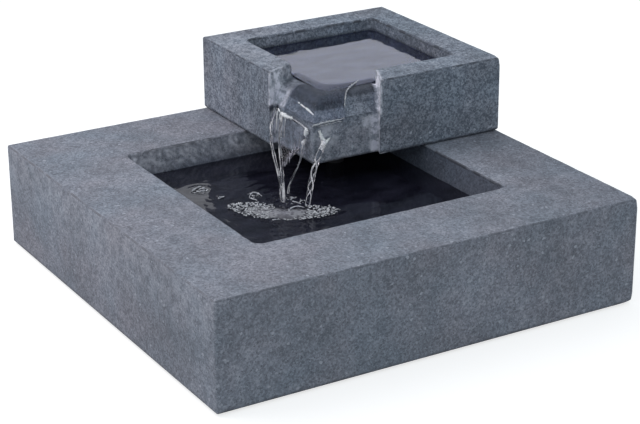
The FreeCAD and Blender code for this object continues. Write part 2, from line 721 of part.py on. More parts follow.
def make_rotor():
    """Impeller with its sleeve, the magnet on it, the fixed shaft and the shaft's two bushes."""
    shaft_hole = d.shaft_diameter + d.push_fit * 2
    plate_front = motor_front - d.rotor_float - d.impeller_plate
    body = new_body("impeller_body", PUMP)
    spun_along_y(body, "impeller_profile", [
        (shaft_hole / 2, hub_front), (d.hub_diameter / 2, hub_front),
        (d.hub_diameter / 2, plate_front), (d.impeller_diameter / 2, plate_front),
        (d.impeller_diameter / 2, plate_front + d.impeller_plate),
        (d.hub_diameter / 2, plate_front + d.impeller_plate),
        (d.hub_diameter / 2, magnet_front), (d.sleeve_diameter / 2, magnet_front),
        (d.sleeve_diameter / 2, magnet_back), (shaft_hole / 2, magnet_back)])
    vane = new_sketch(body, "vane", "XZ_Plane", -hub_front)
    rectangle(vane, ((d.hub_diameter - d.vane_thickness) / 2, -(d.vane_thickness / 2)),
              (d.impeller_diameter / 2, d.vane_thickness / 2))
    blade = feature(body, "Pad", "vane_pad", vane, Length=plate_front - hub_front, Reversed=True)
    ring_pattern(body, "vane_ring", blade, vane, d.vane_count)
    keep("impeller", body)

    keep("rotor_magnet", tube("magnet_ring", d.magnet_diameter, d.sleeve_diameter + d.push_fit * 2,
                              d.magnet_length, shifted((0, magnet_front, 0)), ALONG_Y))
    shaft_front = front_bush_end + d.bush_end
    shaft_back = rear_bush_end - d.bush_end
    keep("impeller_shaft", cylinder("shaft_rod", d.shaft_diameter, shaft_back - shaft_front,
                                    shifted((0, shaft_front, 0)), ALONG_Y))
    for label, start, hole_start in (("front_shaft_bush", front_bush_end, shaft_front),
                                     ("rear_shaft_bush", rotor_well_end, rotor_well_end)):
        blank = cylinder(label + "_blank", d.bush_diameter, d.bush_length,
                         shifted((0, start, 0)), ALONG_Y)
        hole = cylinder(label + "_hole", shaft_hole, d.bush_length - d.bush_end,
                        shifted((0, hole_start, 0)), ALONG_Y)
        keep(label, cut(label + "_cup", blank, hole))


def make_intake_cover():
    """Strainer cover that slides over the pump chamber, with slots, throttle holes and a stub bore."""
    back = motor_front - d.cover_gap
    body = pump_block("strainer", cover_front, back, d.pump_width, d.pump_height)
    round_long_edges(body, "strainer_edges", cover_front, back)
    room = new_sketch(body, "strainer_room", "XZ_Plane", -back)
    centred_rectangle(room, d.pump_width - d.cover_wall * 2, d.pump_height - d.cover_wall * 2)
    feature(body, "Pocket", "strainer_room_cut", room, Length=back - cover_front - d.cover_wall,
            Reversed=True)
    slot = new_sketch(body, "spigot_slot", "XY_Plane", d.pump_height / 2)
    slot_half = neck_diameter / 2 + d.spigot_slot_gap
    rectangle(slot, (-slot_half, -slot_half), (slot_half, back + d.cut_margin))
    feature(body, "Pocket", "spigot_slot_cut", slot, Length=d.cover_wall + d.cover_gap)
    side = new_sketch(body, "strainer_slot", "YZ_Plane", 0)
    slot_middle = cover_front + d.intake_reach / 2
    lowest = -(d.slot_pitch * (d.slot_count - 1) / 2)
    rectangle(side, (slot_middle - d.slot_length / 2, lowest - d.slot_height / 2),
              (slot_middle + d.slot_length / 2, lowest + d.slot_height / 2))
    first_slot = feature(body, "Pocket", "strainer_slot_cut", side,
                         Length=d.pump_width + d.cut_margin, SideType="Symmetric")
    rows = body.newObject("PartDesign::LinearPattern", "strainer_slots")
    rows.Originals = [first_slot]
    rows.Direction = (side, ["V_Axis"])
    bind(rows, "Length", d.slot_pitch * (d.slot_count - 1))
    bind(rows, "Occurrences", d.slot_count)
    body.Tip = rows
    bore_from(body, "stub_bore", cover_front, d.dial_stub + d.push_fit * 2, d.cover_wall, True)
    hole, sketch = bore_from(body, "throttle", cover_front, d.dial_hole, d.cover_wall, True,
                             (d.dial_radius, 0))
    ring_pattern(body, "throttle_ring", hole, sketch, d.dial_hole_count)
    keep("intake_cover", body)


def make_flow_dial():
    """Dial that turns over the throttle holes, with a grip bar and a stub that snaps into the cover."""
    disc_back = cover_front - d.dial_gap
    disc_front = disc_back - d.dial_thickness
    head_front = cover_front + d.cover_wall + d.dial_gap
    head_back = head_front + d.dial_head_length
    body = new_body("dial_body", PUMP)
    spun_along_y(body, "dial_profile", [
        (0, disc_front), (d.dial_diameter / 2, disc_front), (d.dial_diameter / 2, disc_back),
        (d.dial_stub / 2, disc_back), (d.dial_stub / 2, head_front), (d.dial_head / 2, head_front),
        (d.dial_stub / 2, head_back), (0, head_back)])
    hole, sketch = bore_from(body, "dial_throttle", disc_front, d.dial_hole, d.dial_thickness, True,
                             (d.dial_radius, 0))
    ring_pattern(body, "dial_throttle_ring", hole, sketch, d.dial_hole_count)
    grip = new_sketch(body, "grip", "XZ_Plane", -disc_front)
    reach = d.dial_diameter / 2 * math.sqrt(0.5) - d.grip_width / 2
    width = d.grip_width / 2 * math.sqrt(0.5)
    outline(grip, [(reach - width, reach + width), (-reach - width, -reach + width),
                   (-reach + width, -reach - width), (reach + width, reach - width)])
    feature(body, "Pad", "grip_bar", grip, Length=d.grip_height)
    keep("flow_dial", body)


def make_filter_sponge():
    half_width = d.pump_width / 2 - d.cover_wall - d.sponge_gap
    half_height = d.pump_height / 2 - d.cover_wall - d.sponge_gap
    back = -motor_front - d.sponge_gap
    keep("filter_sponge", box("sponge_block", shifted((-half_width, back - d.sponge_length, -half_height)),
                              shifted((half_width, back, half_height))))


def make_suction_cups():
    reach = d.pump_width / 2 - d.cup_inset
    cups = []
    for x_side in (-1, 1):
        for end, station in (("front", motor_front + d.cup_inset), ("back", motor_back - d.cup_inset)):
            name = f"cup_{end}_{x_side + 1}"
            body = new_body(name, (inlet + reach * x_side, pump_y + station, well_floor))
            rim = d.cup_diameter / 2
            neck = d.cup_neck / 2
            spun(body, name + "_profile", [
                (rim - d.cup_lip, 0), (rim, 0), (rim, d.cup_lip), (neck, d.cup_height - d.cup_lip),
                (neck, d.cup_height), (0, d.cup_height), (0, d.cup_height - d.cup_lip * 2)])
            cups.append(body)
    keep("suction_cups", compound("cup_set", cups))


make_lower_basin()
make_basin_feet()
make_upper_bowl()
make_bowl_pads()
make_inlet()
make_pump_housing()
make_windings()
make_housing_seal()
make_impeller_cover()
make_rotor()
make_intake_cover()
make_flow_dial()
make_filter_sponge()
make_suction_cups()
doc.recompute()

for item in doc.Objects:
    if any(state in item.State for state in ("Invalid", "Error")):
        raise RuntimeError(f"{item.Label} failed: {item.State}")
for label, item in nodes.items():
    if item.Shape.isNull() or not item.Shape.isValid() or not item.Shape.Solids:
        raise RuntimeError(f"{label} has no sound solid")

os.makedirs("parts", exist_ok=True)
for label, item in nodes.items():
    item.Shape.exportStep(f"parts/{label}.step")
    print(f"{label}: {len(item.Shape.Solids)} solid(s), {item.Shape.Volume / 1000:.2f} cm3")
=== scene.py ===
"""Looks of the two-tier stone fountain: cast stone, still and falling water, the pump, light and camera.

Lengths are metres in the frame of the solids: the origin is the middle of the basin's underside,
+Z is up, the front faces -Y and the bowl stands towards +X and +Y.
"""
import math
import random

import bmesh
import bpy
from mathutils import Matrix, Vector, noise


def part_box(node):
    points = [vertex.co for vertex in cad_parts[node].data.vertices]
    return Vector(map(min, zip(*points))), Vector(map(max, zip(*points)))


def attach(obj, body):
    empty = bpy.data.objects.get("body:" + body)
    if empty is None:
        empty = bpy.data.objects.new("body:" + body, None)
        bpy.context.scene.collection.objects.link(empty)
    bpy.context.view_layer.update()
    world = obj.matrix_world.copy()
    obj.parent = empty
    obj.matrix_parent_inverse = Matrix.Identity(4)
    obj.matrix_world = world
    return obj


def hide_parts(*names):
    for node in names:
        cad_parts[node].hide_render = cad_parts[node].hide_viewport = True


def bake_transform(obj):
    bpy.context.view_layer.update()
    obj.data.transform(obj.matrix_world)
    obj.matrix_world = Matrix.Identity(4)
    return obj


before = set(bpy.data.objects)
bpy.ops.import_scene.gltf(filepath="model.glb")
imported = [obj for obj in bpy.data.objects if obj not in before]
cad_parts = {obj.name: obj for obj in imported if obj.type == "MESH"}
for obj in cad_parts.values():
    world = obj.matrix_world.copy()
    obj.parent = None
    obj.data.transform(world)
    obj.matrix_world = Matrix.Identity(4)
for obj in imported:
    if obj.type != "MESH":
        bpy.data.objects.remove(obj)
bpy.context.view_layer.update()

MM = 0.001

# Places of the stones, in millimetres as they are built
POOL_LEVEL = 74.0
BOWL_LEVEL = 155.0
WELL_HALF = 120.0
WELL_TOP = 96.0
WELL_LEAN = math.tan(math.radians(10))
BOWL_FAR = 200.0
BOWL_RIM = 30.0
BOWL_TOP = 166.0
BOWL_LEAN = math.tan(math.radians(12))
NOTCH_LENGTH = 71.0
NOTCH_FLARE = 13.0 / 30.0
LIP_LEVEL = 134.5

# Camera and light
CAMERA_PLACE = (-0.790, -1.3532, 0.684)
CAMERA_AZIMUTH = math.radians(-30.57)
CAMERA_ELEVATION = math.radians(21.805)
CAMERA_ROLL = math.radians(-0.31)
FOCAL_PIXELS = 1930.1
PHOTO_PIXELS = 640
SENSOR_WIDTH = 36.0
SKY_STRENGTH = 0.64
SKY_COLOUR = (0.95, 1.05, 1.11)
MIRRORED_SKY = (0.93, 0.955, 1.01)
LAMP_PLACE = Vector((-0.65, 0.3, 0.85))
LAMP_SIZE = 0.7
LAMP_WATTS = 3.8
LAMP_COLOUR = (1.05, 0.95, 0.96)
FLOOR_TONE = 0.5
FLOOR_LIFT = 0.7
FLOOR_HALF = 4.0


class Finish:
    """A material whose colour, gloss and relief come from nodes on the piece's own coordinates."""

    def __init__(self, name, **sockets):
        self.material = bpy.data.materials.new(name)
        self.material.use_nodes = True
        self.tree = self.material.node_tree
        self.shader = self.tree.nodes["Principled BSDF"]
        self.place = self.tree.nodes.new("ShaderNodeTexCoord").outputs["Object"]
        for socket, value in sockets.items():
            self.shader.inputs[socket.replace("_", " ")].default_value = value

    def link(self, output, socket):
        self.tree.links.new(output, socket)

    def noise(self, scale, detail=4.0, roughness=0.6, stretch=None):
        node = self.tree.nodes.new("ShaderNodeTexNoise")
        node.inputs["Scale"].default_value = scale
        node.inputs["Detail"].default_value = detail
        node.inputs["Roughness"].default_value = roughness
        self.link(self.stretched(stretch), node.inputs["Vector"])
        return node.outputs["Fac"]

    def cells(self, scale, output="Distance"):
        node = self.tree.nodes.new("ShaderNodeTexVoronoi")
        node.inputs["Scale"].default_value = scale
        self.link(self.place, node.inputs["Vector"])
        return node.outputs[output]

    def stretched(self, stretch):
        if stretch is None:
            return self.place
        node = self.tree.nodes.new("ShaderNodeMapping")
        node.inputs["Scale"].default_value = stretch
        self.link(self.place, node.inputs["Vector"])
        return node.outputs["Vector"]

    def attribute(self, name):
        node = self.tree.nodes.new("ShaderNodeAttribute")
        node.attribute_name = name
        return node.outputs["Fac"]

    def ramp(self, value, *stops):
        """Colours or greys along a value, as stops of position and colour."""
        node = self.tree.nodes.new("ShaderNodeValToRGB")
        elements = node.color_ramp.elements
        while len(elements) < len(stops):
            elements.new(0.5)
        for element, (position, colour) in zip(elements, stops):
            element.position = position
            element.color = (*colour, 1.0) if isinstance(colour, tuple) else (colour, colour, colour, 1.0)
        self.link(value, node.inputs["Fac"])
        return node.outputs["Color"]

    def mix(self, factor, first, second, blend="MIX"):
        """Mixes two colours, each an output or a plain colour."""
        node = self.tree.nodes.new("ShaderNodeMix")
        node.data_type = "RGBA"
        node.blend_type = blend
        for socket, value in ((node.inputs[0], factor), (node.inputs[6], first), (node.inputs[7], second)):
            if isinstance(value, bpy.types.NodeSocket):
                self.link(value, socket)
            elif isinstance(value, tuple):
                socket.default_value = (*value, 1.0)
            else:
                socket.default_value = value
        return node.outputs[2]

    def bump(self, value, distance, strength=1.0, after=None):
        node = self.tree.nodes.new("ShaderNodeBump")
        node.inputs["Strength"].default_value = strength
        node.inputs["Distance"].default_value = distance
        self.link(value, node.inputs["Height"])
        if after:
            self.link(after, node.inputs["Normal"])
        return node.outputs["Normal"]

    def dress(self, colour=None, roughness=None, normal=None):
        for socket, value in (("Base Color", colour), ("Roughness", roughness), ("Normal", normal)):
            if value is not None:
                self.link(value, self.shader.inputs[socket])
        return self.material


# Finishes

CHIP_AND_LIGHT_TINT = (0.36, 0.36, 0.4)
# Each stone's greys, dark, middle and light, and what the stone keeps of its colour where it is wet and
# where shade is painted
BASIN_GREYS = ((0.132, 0.141, 0.17), (0.204, 0.217, 0.258), (0.3, 0.315, 0.365))
BASIN_WET_SHADE = (0.37, 0.4, 0.45)
BOWL_GREYS = ((0.102, 0.117, 0.149), (0.185, 0.206, 0.252), (0.297, 0.32, 0.373))
BOWL_WET_SHADE = (0.19, 0.205, 0.235)
WET_ROUGHNESS = (0.8, 0.8, 0.8)


def shade(colour, factor):
    """A colour made darker or lighter by one factor."""
    return tuple(c * factor for c in colour)


def cast_stone(name, greys, wet_shade_tint, patch_scale, patch_share, spread, cloud_share):
    """Fine-grained cast stone: grains and flecks of differing greys.

    It is darker in a painted shade line along the arrises and the foot, darker where it is wet and where
    shade is painted, and paler where it is chipped and where light is painted.
    """
    dark, middle, light = greys
    finish = Finish(name, Roughness=0.85)
    cloud = finish.noise(14.0, 4.0)
    patch = finish.noise(patch_scale, 4.0, 0.6)
    grain = finish.noise(430.0, 3.0, 0.7)
    tone = finish.mix(0.45, finish.cells(560.0, "Color"), finish.cells(950.0, "Color"))
    tone = finish.mix(patch_share, tone, finish.ramp(patch, (0.32, 0.0), (0.68, 1.0)))
    colour = finish.ramp(tone, (0.5 - spread, dark), (0.5, middle), (0.5 + spread, light))
    colour = finish.mix(cloud_share, colour, finish.ramp(cloud, (0.3, 0.7), (0.7, 1.3)), "MULTIPLY")
    stain = finish.ramp(finish.noise(11.0, 3.0), (0.36, (0.9, 1.0, 1.03)), (0.64, (1.08, 1.0, 0.98)))
    colour = finish.mix(0.6, colour, stain, "MULTIPLY")
    fleck = finish.ramp(finish.cells(480.0, "Color"), (0.9, 0.0), (0.94, 1.0))
    colour = finish.mix(fleck, colour, shade(light, 1.2))
    pit = finish.ramp(finish.cells(230.0), (0.07, 1.0), (0.16, 0.0))
    colour = finish.mix(pit, colour, shade(dark, 0.6))
    # Painted shade: a patchy dark line along the arrises and along the foot of the sides
    arris = finish.mix(1.0, finish.ramp(finish.attribute("arris"), (0.35, 0.0), (0.85, 1.0)),
                       finish.ramp(patch, (0.4, 0.1), (0.58, 1.0)), "MULTIPLY")
    colour = finish.mix(arris, colour, shade(dark, 0.6))
    # Paler where the stone is chipped, and painted light where a shaded or lit place is made paler
    pale_pattern = finish.mix(0.5, finish.ramp(patch, (0.36, 0.0), (0.6, 1.0)), tone)
    pale = finish.ramp(pale_pattern, (0.25, shade(light, 1.1)), (0.62, shade(CHIP_AND_LIGHT_TINT, 2.2)))
    colour = finish.mix(finish.attribute("chip_and_light"), colour, pale)
    # Darker where the stone is wet, and painted shade in the places marked with it
    wet_and_shade = finish.attribute("wet_and_shade")
    colour = finish.mix(wet_and_shade, colour, finish.mix(1.0, colour, wet_shade_tint, "MULTIPLY"))
    gloss = finish.mix(wet_and_shade, finish.ramp(grain, (0.3, 0.78), (0.7, 0.95)), WET_ROUGHNESS)
    relief = finish.bump(grain, 0.0009, 0.5)
    relief = finish.bump(patch, 0.0015, 0.35, relief)
    return finish.dress(colour, gloss, relief)


def rubber(name, colour):
    finish = Finish(name, Roughness=0.7)
    fine = finish.noise(900.0, 3.0)
    tint = finish.ramp(fine, (0.3, shade(colour, 0.8)), (0.7, shade(colour, 1.2)))
    return finish.dress(tint, finish.ramp(fine, (0.3, 0.6), (0.7, 0.8)), finish.bump(fine, 0.0002, 0.4))


def moulded_plastic(name, colour, roughness=0.42):
    """Moulded plastic with a fine spark-eroded texture."""
    finish = Finish(name, Roughness=roughness)
    spark = finish.noise(1400.0, 2.0)
    flow = finish.noise(40.0, 2.0)
    tint = finish.ramp(flow, (0.3, shade(colour, 0.88)), (0.7, shade(colour, 1.1)))
    return finish.dress(tint, finish.ramp(spark, (0.3, roughness - 0.08), (0.7, roughness + 0.1)),
                        finish.bump(spark, 0.00015, 0.35))


def open_foam(name):
    finish = Finish(name, Roughness=0.95)
    pores = finish.cells(420.0)
    tint = finish.ramp(pores, (0.1, (0.008, 0.009, 0.01)), (0.6, (0.06, 0.065, 0.07)))
    return finish.dress(tint, normal=finish.bump(pores, 0.0012, 0.9))


def metal(name, colour, roughness, stretch):
    """Metal drawn, wound or stacked in fine lines across one direction."""
    finish = Finish(name, Metallic=1.0, Roughness=roughness)
    lines = finish.noise(60.0, 2.0, 0.5, stretch)
    tint = finish.ramp(lines, (0.3, shade(colour, 0.6)), (0.7, colour))
    return finish.dress(tint, finish.ramp(lines, (0.3, roughness - 0.1), (0.7, roughness + 0.15)),
                        finish.bump(lines, 0.0003, 0.6))


def ceramic(name, colour, roughness):
    finish = Finish(name, Roughness=roughness)
    cloud = finish.noise(500.0, 3.0)
    tint = finish.ramp(cloud, (0.3, shade(colour, 0.85)), (0.7, colour))
    return finish.dress(tint, normal=finish.bump(cloud, 0.0001, 0.3))


def pool_finish():
    """Pool water painted nearly black for the shade of the well and the dark things it mirrors, with faint
    drifting streaks.
    """
    finish = Finish("shaded_pool_water", Alpha=0.93, IOR=1.33, Specular_IOR_Level=0.68,
                    Specular_Tint=(0.8, 0.86, 1.0, 1.0))
    drift = finish.noise(26.0, 3.0, 0.5, (1.0, 2.2, 1.0))
    # Painted shade and painted reflection: the water is coloured nearly black
    tint = finish.ramp(drift, (0.35, (0.006, 0.006, 0.011)), (0.75, (0.02, 0.02, 0.033)))
    return finish.dress(tint, finish.ramp(drift, (0.3, 0.04), (0.7, 0.1)), finish.bump(drift, 0.002, 0.12))


def bowl_finish():
    """Shallow water that mirrors the sky."""
    finish = Finish("shallow_water", IOR=1.55, Transmission_Weight=1.0)
    drift = finish.noise(22.0, 3.0, 0.5, (1.0, 2.5, 1.0))
    tint = finish.ramp(drift, (0.32, (0.2, 0.25, 0.5)), (0.68, (0.4, 0.46, 0.78)))
    return finish.dress(tint, finish.ramp(drift, (0.3, 0.03), (0.7, 0.07)), finish.bump(drift, 0.002, 0.12))


def clear_finish(name, index, scale, stretch, relief):
    """Clear moving water with fine lines along its flow."""
    finish = Finish(name, IOR=index, Transmission_Weight=1.0, Specular_Tint=(0.84, 0.86, 1.0, 1.0))
    lines = finish.noise(scale, 2.0, 0.5, stretch)
    tint = finish.ramp(lines, (0.3, (0.86, 0.89, 0.93)), (0.7, (0.97, 0.98, 1.0)))
    gloss = finish.ramp(lines, (0.3, 0.0), (0.7, 0.025))
    return finish.dress(tint, gloss, finish.bump(lines, relief, 0.35))


def white_finish(name, transmission, scale, hollow, crest):
    """Water white with air, and painted highlights of glinting water: bright, with darker hollows."""
    finish = Finish(name, IOR=1.33, Transmission_Weight=transmission)
    cloud = finish.noise(scale, 2.0)
    tint = finish.ramp(cloud, (0.34, hollow), (0.6, crest))
    return finish.dress(tint, finish.ramp(cloud, (0.3, 0.06), (0.7, 0.22)))


def froth_finish():
    """Churned water: a net of white crests at both ends of the froth, smooth and grey between them."""
    finish = Finish("froth", IOR=1.33)
    net = finish.cells(290.0)
    swirl = finish.noise(90.0, 3.0, 0.5)
    calm = finish.ramp(swirl, (0.35, (0.1, 0.098, 0.118)), (0.65, (0.27, 0.265, 0.305)))
    crests = finish.ramp(net, (0.16, (0.05, 0.05, 0.06)), (0.36, (0.26, 0.26, 0.29)),
                         (0.52, (0.8, 0.81, 0.86)))
    colour = finish.mix(finish.attribute("lobe"), calm, crests)
    colour = finish.mix(finish.attribute("froth"), (0.02, 0.02, 0.026), colour)
    return finish.dress(colour, finish.ramp(net, (0.2, 0.15), (0.6, 0.35)), finish.bump(net, 0.0016, 0.5))


# Helpers for pieces

def smooth_step(value, start, end):
    share = min(1.0, max(0.0, (value - start) / (end - start)))
    return share * share * (3 - 2 * share)


def new_piece(name, mesh, finish, body=None, smooth=True):
    piece = bpy.data.objects.new(name, mesh)
    bpy.context.collection.objects.link(piece)
    mesh.materials.clear()
    mesh.materials.append(finish)
    mesh.polygons.foreach_set("use_smooth", [smooth] * len(mesh.polygons))
    if body:
        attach(piece, body)
    return piece


def finished_mesh(shape, name):
    mesh = bpy.data.meshes.new(name)
    shape.to_mesh(mesh)
    shape.free()
    return mesh


def give_thickness(piece, thickness):
    skin = piece.modifiers.new("thickness", "SOLIDIFY")
    skin.thickness = thickness
    skin.offset = -1.0


def evaluated_mesh(piece, name):
    """The mesh of a piece with its modifiers or its bevel worked in."""
    graph = bpy.context.evaluated_depsgraph_get()
    mesh = bpy.data.meshes.new_from_object(piece.evaluated_get(graph))
    mesh.name = name
    return mesh


def set_attribute(mesh, name, values):
    mesh.attributes.new(name, "FLOAT", "POINT").data.foreach_set("value", values)


# Stone

SHARP_ANGLE = math.radians(30)
# A rounded arris lies this near the top or the base and its normal leans between these slopes
ROUND_REACH = 2.5
ROUND_FLAT = 0.988
ROUND_STEEP = 0.25
# The painted shadow along the foot of the sides: how far up it reaches, and its darkness as a share of the
# arris line
FOOT_REACH = 3.2
FOOT_SHADE_MARK = 0.7
BASE_SOUND = 6.0
BASIN_GRID = 3.0
BOWL_GRID = 2.0
# Depths of wear: the skin, the edges of each stone and the broken sides of the notch
SKIN_WEAR = 0.3
BASIN_EDGE_WEAR = 0.35
BOWL_EDGE_WEAR = 0.4
JAMB_WEAR = 2.5
# The recess under the lips: its depth, its top, where its left end starts and how far both ends reach
RECESS = 9.0
UNDER_LIPS = 131.0
LEFT_END = (68.0, 71.0)
END_REACH = 76.0
# Radii of the knocked corners
TOP_KNOCK = 4.0
BASE_KNOCK = 3.5
# Share of the painted shade line that the basin's front top arris keeps
FRONT_ARRIS = 0.66


def fine_stone(node, name, spacing, finish, body):
    """A copy of a stone that stands for its node, cut into a fine grid that keeps its edges."""
    shape = bmesh.new()
    shape.from_mesh(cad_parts[node].data)
    bmesh.ops.remove_doubles(shape, verts=shape.verts, dist=0.01 * MM)
    bmesh.ops.dissolve_limit(shape, angle_limit=0.002, verts=shape.verts, edges=shape.edges)
    low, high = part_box(node)
    for axis, across in enumerate((Vector((1, 0, 0)), Vector((0, 1, 0)), Vector((0, 0, 1)))):
        count = round((high[axis] - low[axis]) / (2 * spacing))
        for step in range(1, count):
            everything = shape.verts[:] + shape.edges[:] + shape.faces[:]
            bmesh.ops.bisect_plane(shape, geom=everything, dist=0.001 * MM,
                                   plane_co=low.lerp(high, step / count), plane_no=across)
    shown = [edge for edge in shape.edges if max(vertex.co.z for vertex in edge.verts) > low.z + 1 * MM]
    bmesh.ops.subdivide_edges(shape, edges=[edge for edge in shown if edge.calc_length() > 1.4 * spacing],
                              cuts=1, use_grid_fill=True)
    bmesh.ops.triangulate(shape, faces=[face for face in shape.faces if len(face.verts) > 4])
    shape.normal_update()
    # The arrises are marked for edge wear and for a painted shade line along them
    arris = shape.verts.layers.float.new("arris")
    for vertex in shape.verts:
        outermost = not low.z + ROUND_REACH * MM < vertex.co.z < high.z - ROUND_REACH * MM
        vertex[arris] = float(outermost and ROUND_STEEP < abs(vertex.normal.z) < ROUND_FLAT)
        # The foot of the sides is marked for a painted shadow line
        if vertex.co.z < low.z + FOOT_REACH * MM and abs(vertex.normal.z) < ROUND_STEEP:
            vertex[arris] = FOOT_SHADE_MARK
    for edge in shape.edges:
        first, last = edge.verts
        level = abs(first.co.z - last.co.z) < 0.1 * MM
        if level and edge.is_convex and edge.calc_face_angle(0.0) > SHARP_ANGLE:
            first[arris] = 1.0
            last[arris] = 1.0
    piece = new_piece(name, finished_mesh(shape, name), finish, body)
    even = piece.modifiers.new("even_shading", "WEIGHTED_NORMAL")
    even.keep_sharp = False
    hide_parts(node)
    return piece


def weather(mesh, skin_depth, edge_depth, sound, broken=None):
    """Sinks the skin by fine noise, wears the edges and breaks some places deeper.

    sound tells where the stone stays as cut, broken gives the depth of a broken place.
    """
    normals = [vertex.normal.copy() for vertex in mesh.vertices]
    arrises = [item.value for item in mesh.attributes["arris"].data]
    for vertex, normal, edge in zip(mesh.vertices, normals, arrises):
        place = vertex.co.copy()
        if sound(place, normal):
            continue
        fine = 0.5 + 0.5 * noise.noise(place * 260.0)
        broad = 0.5 + 0.5 * noise.noise(place * 45.0)
        chips = smooth_step(noise.noise(place * 120.0) + 0.5 * noise.noise(place * 55.0), 0.1, 0.7)
        depth = skin_depth * (0.6 * fine + 0.4 * broad) + edge_depth * edge * (0.1 + chips)
        if broken:
            rough = 0.5 + 0.5 * noise.noise(place * 150.0) + 0.4 * noise.noise(place * 330.0)
            depth += broken(place) * rough
        vertex.co = place - normal * depth


def knock_corner(mesh, corner, inward, radius):
    """Rounds one corner of a stone, as if it had been knocked."""
    for vertex in mesh.vertices:
        away = vertex.co - corner
        share = smooth_step(away.length, 2.2 * radius, 1.1 * radius)
        over = Vector([max(0.0, radius - step * side) for step, side in zip(away, inward)])
        if share and over.length > radius:
            back = over * (1.0 - radius / over.length) * share
            vertex.co += Vector([step * side for step, side in zip(back, inward)])


def set_marks(mesh, marks):
    """Paints how wet and how pale a stone is at each of its vertices, with painted shade among the wet
    marks and painted light among the pale ones.
    """
    wet_and_shade, pale = zip(*[marks(vertex.co) for vertex in mesh.vertices])
    set_attribute(mesh, "wet_and_shade", wet_and_shade)
    set_attribute(mesh, "chip_and_light", pale)


def basin_marks(place):
    """How wet and pale the basin is: damp above the pool, painted shade on the well's right wall and the
    top's right, lime and painted light on the back wall, painted light high on the left face.
    """
    on_top = place.z > WELL_TOP * MM - 1 * MM
    if max(abs(place.x), abs(place.y)) < (WELL_HALF + 0.3) * MM:
        tide = POOL_LEVEL * MM + 4 * MM * noise.noise(place * 40.0)
        # The damp rises to the top of the well's right wall, partly painted shade of the bowl
        tide += 22 * MM * smooth_step(place.x, 105 * MM, 112 * MM)
        speck = 1.3 * noise.noise(place * 290.0)
        soaked_and_shade = 1.0 - smooth_step(place.z, tide, tide + 10 * MM)
        # The back wall is paler with lime specks and painted light
        lime_and_light = (0.12 + 0.75 * max(0.0, speck)) * smooth_step(place.y, 108 * MM, 114 * MM)
        return max(soaked_and_shade, -0.7 * speck), lime_and_light
    # Painted shade: the top is darker towards the right, beside the bowl
    painted_right_top = 0.2 * smooth_step(place.x, 110 * MM, 170 * MM) * on_top
    # Painted light: the upper half of the left face is paler
    left_face_light = 0.11 * smooth_step(place.z, 40 * MM, 88 * MM) * (place.x < -198 * MM)
    return painted_right_top, left_face_light


def make_basin_stone():
    stone = cast_stone("basin_stone", BASIN_GREYS, BASIN_WET_SHADE, 90.0, 0.2, 0.25, 0.6)
    piece = fine_stone("lower_basin", "basin_stone", BASIN_GRID * MM, stone, "basin")
    top = WELL_TOP * MM

    def sound(place, normal):
        under_bowl = place.x > 0 and place.y > 0 and place.z > top - 1 * MM
        return place.z < BASE_SOUND * MM or under_bowl

    weather(piece.data, SKIN_WEAR * MM, BASIN_EDGE_WEAR * MM, sound)
    low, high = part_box("lower_basin")
    knock_corner(piece.data, Vector((high.x, low.y, high.z)), Vector((-1, 1, -1)), TOP_KNOCK * MM)
    knock_corner(piece.data, Vector((high.x, low.y, low.z)), Vector((-1, 1, 1)), BASE_KNOCK * MM)
    set_marks(piece.data, basin_marks)
    # The painted shade line is kept fainter along the basin's front top arris
    for vertex, mark in zip(piece.data.vertices, piece.data.attributes["arris"].data):
        if vertex.co.y < -197 * MM and vertex.co.z > top - 4 * MM:
            mark.value *= FRONT_ARRIS


def jamb_distance(along, across):
    """Distance of a place from the upright side of the notch, in millimetres."""
    return (along - NOTCH_LENGTH - NOTCH_FLARE * across) / math.hypot(1.0, NOTCH_FLARE)


def broken_share(place):
    """How broken the stone is at a place: the sides of the notch and the left end of the weir."""
    x, y, z = (c / MM for c in place)
    depth = min(x, y)
    ragged = noise.noise(place * 70.0)
    on_jamb = min(abs(jamb_distance(x, y)), abs(jamb_distance(y, x)))
    jamb = smooth_step(2.6 - on_jamb + ragged, 0.0, 1.2)
    end = smooth_step(y + 5 * ragged, 58, 66) * (x < y) * (y < NOTCH_LENGTH + NOTCH_FLARE * x + 1)
    return max(jamb, end) * (depth < 34 and max(x, y) < 92) * smooth_step(z, 132, 136)


def bowl_pale(place):
    """How pale the bowl is at a place: broken stone, painted light in the recess below the lips and at both
    its ends, a pale patch below the front lip and a paler left rim.
    """
    x, y, z = (c / MM for c in place)
    ragged = noise.noise(place * 70.0)
    broken = broken_share(place) * (1 - 0.6 * smooth_step(x, 15, 21) * (x < y))
    # Painted light: the recess below the lips is paler, against its shade
    under_lip_light = 0.1 * (min(x, y) < RECESS and z < UNDER_LIPS and max(x, y) < NOTCH_LENGTH)
    haze = 0.46 * smooth_step(math.hypot(x - 20, z - 122), 18, 6) * (y < RECESS)
    # Painted light: the nook at the left end of the recess is made pale, against its shade
    left_end_light = smooth_step(y, *LEFT_END) * (y < END_REACH and 1 < x < RECESS)
    left_end_light *= smooth_step(z, UNDER_LIPS, 126)
    # Painted light: a pale strip at the right end of the recess, and the recess's face paler towards it
    at_right = (x < END_REACH and 0.5 < y < 10) * (z < UNDER_LIPS + 2)
    right_end_light = (0.9 + 0.2 * ragged) * smooth_step(x, 64, 68) * at_right
    painted_right_top = 0.55 * smooth_step(x, 54, 62) * smooth_step(z, 118, 124) * at_right
    left_rim = 0.12 * (z > BOWL_TOP - 0.6 and x < BOWL_RIM)
    return max(broken, under_lip_light, haze, left_end_light, right_end_light, painted_right_top, left_rim)


